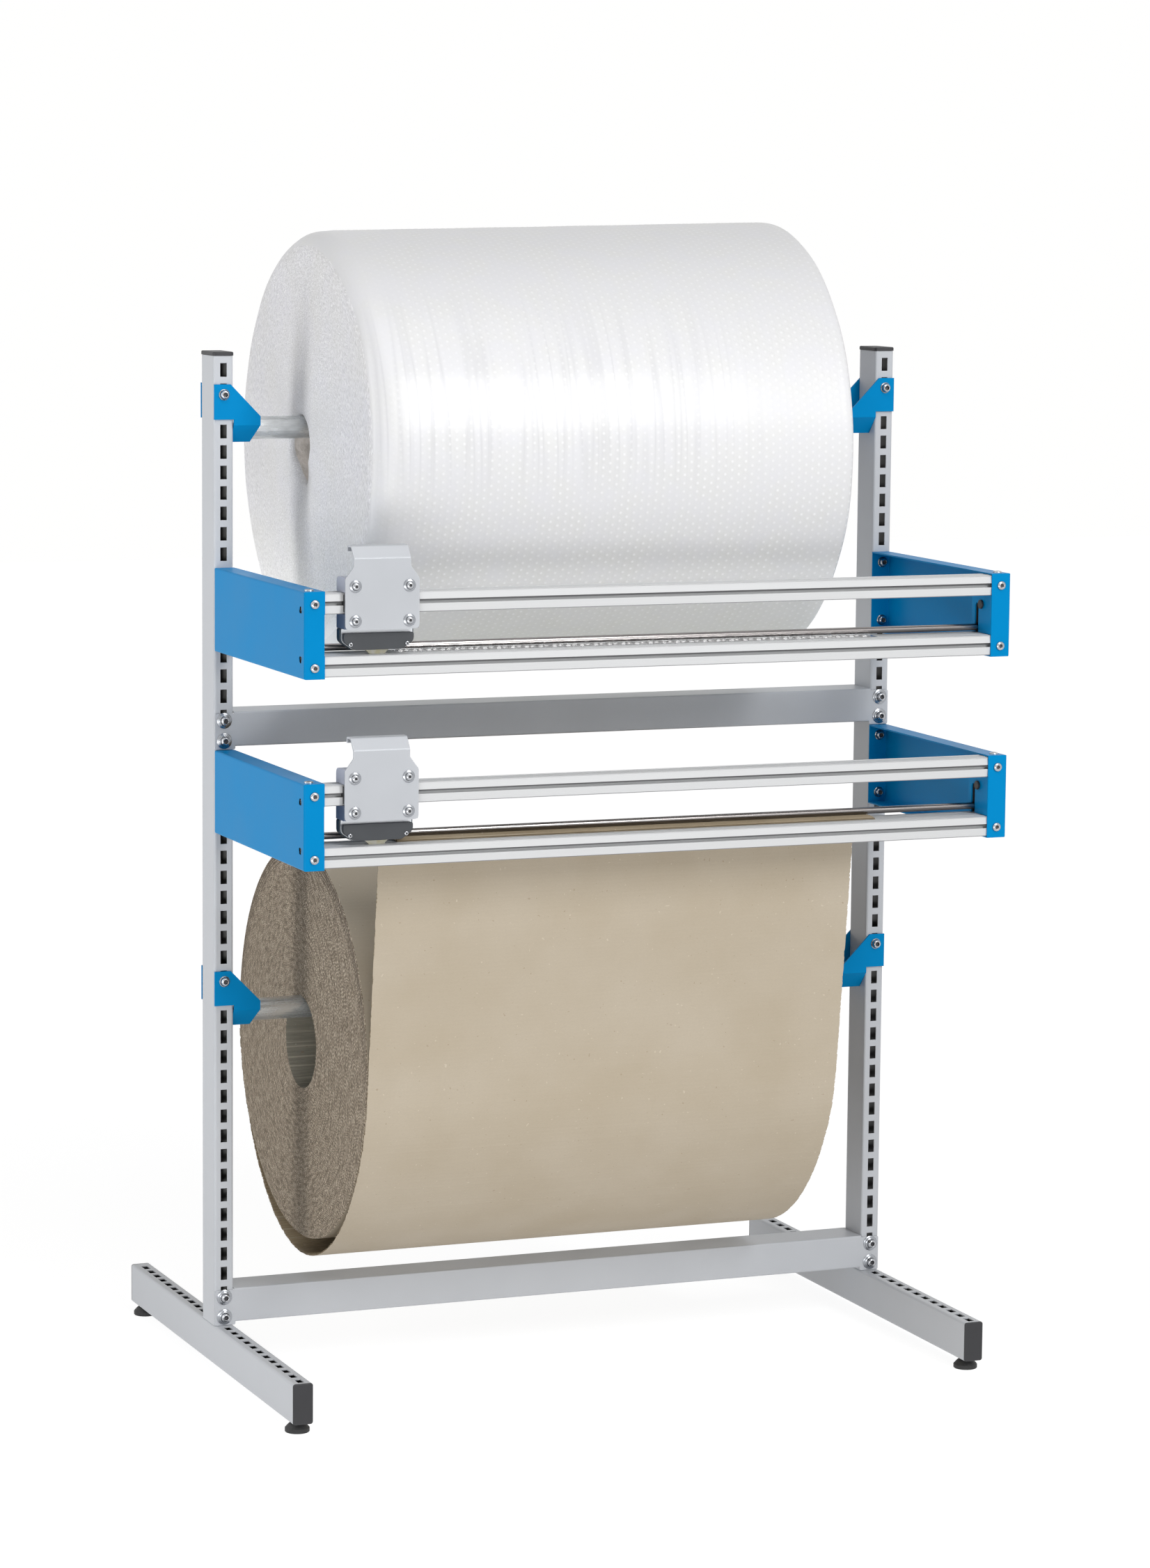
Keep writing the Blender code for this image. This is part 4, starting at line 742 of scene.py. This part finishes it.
def makeFilmLength():
    film, web = bubbleFilm, filmLength
    filmClear = makeClearFilm()
    rng = random.Random(11)
    columns = web["columns"]
    left, right = film["left"], film["right"]
    paths = [filmPath(film["radiusLeft"]), filmPath(film["radiusRight"])]
    lengths = [0.0]
    for a, b in zip(paths[0], paths[0][1:]):
        lengths.append(lengths[-1] + (b - a).length)

    def spotAt(x, done):
        # point on the film and its way along the path, at a place across and a length along
        share = (x - left) / (right - left)
        index = next((i for i in range(len(lengths) - 2) if lengths[i + 1] > done), len(lengths) - 2)
        part = (done - lengths[index]) / (lengths[index + 1] - lengths[index])
        spots = [p[index].lerp(p[index + 1], part) for p in paths]
        ways = [p[index + 1] - p[index] for p in paths]
        spot, way = spots[0].lerp(spots[1], share), ways[0].lerp(ways[1], share).normalized()
        return at(x, spot.x, spot.y), Vector((0, way.x, way.y))

    bm = bmesh.new()
    layer = bm.loops.layers.uv.new("bubbleMap")
    rows = []
    ragged = [web["ragged"] * rng.random() for _ in range(columns + 1)]
    for index, done in enumerate(lengths):
        row = []
        for column in range(columns + 1):
            x = left + (right - left) * column / columns
            cut = ragged[column] if index == len(lengths) - 1 else 0.0
            row.append(bm.verts.new(spotAt(x, done - cut)[0] + Vector((0, 0, web["lift"]))))
        rows.append(row)
    for i in range(len(rows) - 1):
        for c in range(columns):
            face = bm.faces.new((rows[i][c], rows[i][c + 1], rows[i + 1][c + 1], rows[i + 1][c]))
            for loop in face.loops:
                row = i if loop.vert in rows[i][c:c + 2] else i + 1
                loop[layer].uv = (loop.vert.co.x / (film["column"] * 2), lengths[row] / film["pitch"])
    sheet = finishPiece("bubbleFilmLength", bm, [filmClear], "frame", 60, closed=False)
    bm = bmesh.new()
    count = int((right - left) / film["column"])
    for k in range(-count, count):
        x = k * film["column"]
        if not left + web["margin"] < x < right - web["margin"]:
            continue
        for n in range(int(lengths[-1] / film["pitch"])):
            done = (n + 0.5 * (k % 2)) * film["pitch"]
            if not web["endMargin"] < done < lengths[-1] - web["endMargin"]:
                continue
            spot, way = spotAt(x, done)
            high = web["dome"] * rng.uniform(0.6, 1.0)
            if web["rod"][0] < spot.y < web["rod"][1]:
                high = min(high, web["pressed"])
            elif spot.y <= web["rod"][0]:
                high *= web["spring"]
            addDome(bm, spot, way, high)
    domes = finishPiece("bubbleFilmDomes", bm, [filmClear], "frame", 60, closed=False)
    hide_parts("bubble_web")


makeFilmLength()
print("bubble film made")

# the roll of corrugated board
board = {
    "axisY": 0.030, "axisZ": 0.41915, "left": -0.404, "right": 0.346, "radius": 0.2965, "bore": 0.071,
    "edge": 0.0012, "layer": 0.0026, "flute": 0.0065, "segments": 552, "boreFlutes": 69, "fluteDepth": 0.0016,
    "gaps": ((0.2937, 0.0009), (0.2895, 0.0007), (0.2845, 0.0006), (0.2787, 0.0004)),  # radius and width
}


def makeBoardFace(name, light, dark, ribs):
    # smooth brown liner with fibre specks and the ribs of the flutes showing through
    material, tree, shader, place = startMaterial(name, light, 0.75)
    along = splitPlace(tree, addNode(tree, "UVMap", uv_map="boardMap").outputs[0])[1]
    rib = calc(tree, "SINE", product(tree, along, math.tau / board["flute"]))
    fibre = grain(tree, place, 1, 4, stretch=(300, 900, 900))
    streak = grain(tree, place, 1, 3, stretch=(6, 260, 260))
    cloud = grain(tree, place, 9, 4)
    speck = grain(tree, place, 230, 0)
    darkSpeck = remap(tree, speck, 0.83, 0.85, 0.0, 0.35)
    lightSpeck = remap(tree, speck, 0.175, 0.155, 0.0, 0.35)
    tint = blendColors(tree, remap(tree, cloud, 0.3, 0.7), light, dark)
    tint = blendColors(tree, remap(tree, fibre, 0.25, 0.75, 0.0, 0.30), tint, tuple(v * 0.8 for v in dark))
    tint = blendColors(tree, calc(tree, "MULTIPLY_ADD", rib, ribs, ribs), tint, tuple(v * 0.7 for v in dark))
    tint = blendColors(tree, remap(tree, streak, 0.55, 0.70, 0.0, ribs * 3), tint, shade(210, 200, 181))
    tint = blendColors(tree, darkSpeck, tint, shade(140, 112, 86))
    tint = blendColors(tree, lightSpeck, tint, shade(226, 217, 200))
    feed(shader, Base_Color=tint)
    height = calc(tree, "ADD", product(tree, rib, 0.25), product(tree, fibre, 0.6))
    addBump(tree, shader, height, 0.00012, 0.7)
    feed(shader, Roughness=remap(tree, cloud, 0.3, 0.7, 0.68, 0.82))
    return material


def makeBoardEnds():
    # wound layers seen from the side: pale liners and flutes, with painted shade in the gaps between them
    material, tree, shader, place = startMaterial("boardEnds", shade(160, 145, 125), 0.85)
    radius, angle, z = aroundAxis(tree, place)
    wobble = product(tree, grain(tree, place, 24, 4), 0.012)
    turns = calc(tree, "DIVIDE", calc(tree, "ADD", radius, wobble), board["layer"])
    turns = calc(tree, "ADD", turns, calc(tree, "DIVIDE", angle, math.tau))
    layer = calc(tree, "FLOOR", turns)
    inLayer = calc(tree, "FRACT", turns)
    shift = addNode(tree, "TexWhiteNoise", {"W": layer}, noise_dimensions="1D").outputs["Value"]
    drift = product(tree, grain(tree, place, 80, 3), 11.0)
    phase = calc(tree, "MULTIPLY_ADD", shift, math.tau, drift)
    arc = product(tree, angle, radius)
    wave = calc(tree, "SINE", calc(tree, "ADD", product(tree, arc, math.tau / board["flute"]), phase))
    middle = calc(tree, "MULTIPLY_ADD", wave, 0.30, 0.58)
    paper = calc(tree, "ABSOLUTE", calc(tree, "SUBTRACT", inLayer, middle))
    flute = remap(tree, paper, 0.08, 0.28, 1.0, 0.0)
    liner = remap(tree, inLayer, 0.16, 0.28, 1.0, 0.0)
    rough = grain(tree, place, 420, 3)
    solid = calc(tree, "MAXIMUM", flute, product(tree, liner, 0.85))
    solid = product(tree, solid, remap(tree, rough, 0.35, 0.65, 0.5, 1.2))
    rolled = addNode(tree, "CombineXYZ", {
        0: product(tree, calc(tree, "ADD", radius, wobble), 170), 1: product(tree, arc, 62),
    }).outputs[0]
    bunch = grain(tree, rolled, 1, 3, Roughness=0.7)
    solid = product(tree, solid, remap(tree, bunch, 0.38, 0.58, 0.25, 1.15))
    paleTint = blendColors(tree, grain(tree, place, 75, 4), shade(228, 214, 192), shade(196, 180, 158))
    # painted shade where there is no paper between the flutes
    tint = blendColors(tree, solid, shade(84, 70, 54), paleTint)
    # the outer turns stand a little apart, with painted shade in the gaps between them on the upper half
    apart = remap(tree, z, -0.06, 0.10)
    uneven = calc(tree, "MULTIPLY_ADD", wobble, 0.3, radius)
    for ring, wide in board["gaps"]:
        off = calc(tree, "ABSOLUTE", calc(tree, "SUBTRACT", uneven, ring))
        gapShade = product(tree, remap(tree, off, wide, wide * 2.2, 0.8, 0.0), apart)
        tint = blendColors(tree, gapShade, tint, shade(74, 62, 50))
    feed(shader, Base_Color=tint)
    addBump(tree, shader, calc(tree, "ADD", solid, product(tree, rough, 0.5)), 0.0007, 0.7)
    return material


boardFront = makeBoardFace("boardFront", shade(192, 180, 161), shade(186, 173, 152), 0.012)
boardInner = makeBoardFace("boardInner", shade(176, 160, 134), shade(152, 136, 110), 0.14)


def makeBoardRoll():
    left, right, radius, bore = board["left"], board["right"], board["radius"], board["bore"]
    edge, rim = board["edge"], radius - board["edge"]
    boardBore = makeBoardFace("boardBore", shade(166, 161, 148), shade(140, 136, 122), 0.16)
    points = [(left, bore, 2)] + [(left, bore + (rim - bore) * i / 6, 1) for i in range(1, 7)]
    points += [(left + edge, radius, 1), (right - edge, radius, 0)]
    points += [(right, rim - (rim - bore) * i / 6, 1) for i in range(7)]

    def corrugate(index, step, x, r, angle):
        # the flutes of the innermost turn
        if r > bore + 0.001:
            return x, r
        return x, r - board["fluteDepth"] * (0.5 + 0.5 * math.sin(angle * board["boreFlutes"]))

    mapped = [(x, r, finish, x) for x, r, finish in points]
    bm = lathe(mapped, board["segments"], "boardMap", math.tau * radius, corrugate)
    centre = at(0, board["axisY"], board["axisZ"])
    finishes = [boardFront, makeBoardEnds(), boardBore]
    roll = finishPiece("boardRoll", bm, finishes, "roll_lower", 40, origin=centre)
    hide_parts("cardboard_roll")


makeBoardRoll()
print("board roll made")

# the length of board that hangs round the roll and goes up to the cut
boardLength = {
    "radius": 0.2968, "start": 6.0, "sag": 0.024, "sagStart": 25.0,  # angles in degrees
    "bend": 0.034, "bendY": -0.3439, "crest": 0.7838, "rodY": -0.362, "cut": -0.3887, "cutDrop": 0.0015,
    "liner": 0.0005, "height": 0.0029, "paper": 0.00022, "glue": 0.0003,  # thickness of each layer
    "steps": 8, "nicks": (0.0010, 0.0016),  # points for each flute, torn edges of liner and flutes
}


def boardPath():
    web = boardLength
    centre = Vector((board["axisY"], board["axisZ"]))
    bendCentre = Vector((web["bendY"], web["crest"] - web["bend"]))
    away = bendCentre - centre
    lean = math.atan2(away.y, away.x) - math.acos(-(web["bend"] + web["radius"]) / away.length)
    path = []
    first, last = -math.radians(web["start"]), lean - math.pi
    sagStart = math.radians(web["sagStart"])
    for step in range(61):
        angle = first + (last - first) * step / 60
        below = math.pi / 2 - abs(angle + math.pi / 2)
        share = min(max((below - sagStart) / (math.pi / 2 - sagStart), 0), 1)
        reach = web["radius"] + web["sag"] * (1 - math.cos(math.pi * share)) / 2
        path.append((centre.x + reach * math.cos(angle), centre.y + reach * math.sin(angle)))
    path += arcPoints(bendCentre, web["bend"], lean, math.pi / 2, 10)
    path += [(web["rodY"], web["crest"]), (web["cut"], web["crest"] - web["cutDrop"])]
    return path


def resample(path, step):
    # even points along a path, each with its way forward and its length so far
    out = []
    done, carried = 0.0, 0.0
    for a, b in zip(path, path[1:]):
        a, b = Vector(a), Vector(b)
        way = b - a
        size = way.length
        place = carried
        while place < size:
            out.append((a + way * (place / size), way.normalized(), done + place))
            place += step
        carried = place - size
        done += size
    out.append((Vector(path[-1]), (Vector(path[-1]) - Vector(path[-2])).normalized(), done))
    return out


def boardStrip(name, points, low, high, finish, nicks):
    # a band across the width between two offsets of the path, its side edges a little torn
    rng = random.Random(len(name))
    bm = bmesh.new()
    layer = bm.loops.layers.uv.new("boardMap")
    before, torn = None, 0.0
    for point, way, along in points:
        outward = Vector((-way.y, way.x))
        torn = torn * 0.75 + rng.random() ** 6 * nicks
        ring = []
        sides = (board["left"] + torn, board["right"] - torn)
        for offset in (low(along), high(along)):
            spot = point + outward * offset
            ring += [bm.verts.new(at(x, spot.x, spot.y)) for x in sides]
        if before:
            last, lastAlong = before
            for a, b in ((0, 1), (3, 2), (2, 0), (1, 3)):
                for loop in bm.faces.new((last[a], last[b], ring[b], ring[a])).loops:
                    loop[layer].uv = (loop.vert.co.x, lastAlong if loop.vert in last else along)
        else:
            bm.faces.new((ring[0], ring[2], ring[3], ring[1]))
        before = (ring, along)
    bm.faces.new((ring[0], ring[1], ring[3], ring[2]))
    return finishPiece(name, bm, [finish], "frame", 40)


def makeBoardLength():
    # the smooth liner faces away from the roll, with the fluted paper glued to its inside
    web = boardLength
    flute, high, liner = board["flute"], web["height"], web["liner"]
    points = resample(boardPath(), flute / web["steps"])
    middle, paper = (high - liner) / 2, web["paper"]
    reach = middle - web["glue"]

    def wave(along):
        return middle + reach * math.sin(math.tau * along / flute)

    nicks = web["nicks"]
    front = boardStrip("boardLength", points, lambda a: high - liner, lambda a: high, boardFront, nicks[0])
    below, above = lambda a: wave(a) - paper, lambda a: wave(a) + paper
    fluted = boardStrip("boardLengthFlutes", points, below, above, boardInner, nicks[1])
    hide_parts("cardboard_web")


makeBoardLength()
print("board made")

# floor, light and camera
studio = {
    "worldFill": 0.30, "floorSize": 14.0, "floorWhite": (0.86, 0.86, 0.86), "floorShare": 0.72,
    "floorBounce": 0.18, "floorGlow": 1.23, "farGlow": 1.31, "near": 1.2, "far": 3.5,
}
softboxes = {  # place, what it points at, width and height in metres, watts
    "keyLight": ((1.3, -4.4, 3.3), (-0.1, 0.0, 1.1), (1.0, 2.2), 109.0),
    "sideLight": ((-2.3, 0.02, 1.2), (0.0, 0.02, 1.0), (0.5, 2.6), 17.5),
    "lowLight": ((-1.4, -3.0, 0.4), (0.0, 0.0, 1.1), (2.6, 0.7), 22.0),
    "topLight": ((-0.4, -1.6, 4.0), (0.0, 0.0, 1.1), (2.4, 1.6), 22.0),
}
viewpoint = {  # angles in radians, and the lens by the photo's pixels
    "yaw": 0.3854, "pitch": -0.1302, "roll": 0.0091, "place": (-2.6885, -6.6891, 1.7415),
    "focalPixels": 6870.8, "photoHeight": 2253, "sensor": 36.0, "clipEnd": 60.0,
}


def seenShare(tree, unseen, seen):
    # one value for rays that look at the white, also by way of shiny and clear things, and one for light
    rays = addNode(tree, "LightPath")
    looks = calc(tree, "MAXIMUM", rays.outputs["Is Camera Ray"], rays.outputs["Is Glossy Ray"])
    looks = calc(tree, "MAXIMUM", looks, rays.outputs["Is Transmission Ray"])
    return calc(tree, "MULTIPLY_ADD", looks, seen - unseen, unseen)


def makeFloor():
    # white paper that glows into the white behind it, and still takes a shadow
    bm = bmesh.new()
    bmesh.ops.create_grid(bm, x_segments=1, y_segments=1, size=studio["floorSize"])
    floor = addMesh("floor", bm)
    material, tree, shader, place = startMaterial(
        "floorPaper", studio["floorWhite"], 0.9, Specular_IOR_Level=0.0)
    away = addNode(tree, "VectorMath", {0: place}, operation="LENGTH").outputs["Value"]
    strength = remap(tree, away, studio["near"], studio["far"], studio["floorGlow"], studio["farGlow"])
    glow = addNode(tree, "Emission", {"Color": (1, 1, 1, 1), "Strength": strength})
    share = seenShare(tree, studio["floorBounce"], studio["floorShare"])
    mix = addNode(tree, "MixShader", {0: share, 1: shader.outputs[0], 2: glow.outputs[0]})
    feed(tree.nodes["Material Output"], Surface=mix.outputs[0])
    floor.data.materials.append(material)


def makeWorld():
    world = bpy.data.worlds.new("studio")
    bpy.context.scene.world = world
    world.use_nodes = True
    background = world.node_tree.nodes["Background"]
    background.inputs["Color"].default_value = (1.0, 1.0, 0.995, 1)
    feed(background, Strength=seenShare(world.node_tree, studio["worldFill"], 1))


def addSoftbox(name, place, target, size, power):
    light = bpy.data.lights.new(name, "AREA")
    light.shape = "RECTANGLE"
    light.size, light.size_y = size
    light.energy = power
    lamp = addObject(name, light)
    lamp.location = place
    lamp.rotation_euler = (Vector(target) - Vector(place)).to_track_quat("-Z", "Y").to_euler()


def makeCamera():
    view = viewpoint
    yaw, pitch, roll = view["yaw"], view["pitch"], view["roll"]
    data = bpy.data.cameras.new("camera")
    data.sensor_width = view["sensor"]
    data.lens = view["focalPixels"] / view["photoHeight"] * view["sensor"]
    data.clip_end = view["clipEnd"]
    camera = addObject("camera", data)
    forward = Vector((math.sin(yaw) * math.cos(pitch), math.cos(yaw) * math.cos(pitch), math.sin(pitch)))
    right = Vector((math.cos(yaw), -math.sin(yaw), 0))
    up = right.cross(forward)
    right, up = right * math.cos(roll) + up * math.sin(roll), up * math.cos(roll) - right * math.sin(roll)
    turn = Matrix((right, up, -forward)).transposed()
    camera.matrix_world = Matrix.Translation(at(*view["place"])) @ turn.to_4x4()
    bpy.context.scene.camera = camera


makeFloor()
makeWorld()
for name, values in softboxes.items():
    addSoftbox(name, *values)
makeCamera()
bpy.context.scene.view_settings.view_transform = "Standard"
print("studio made")
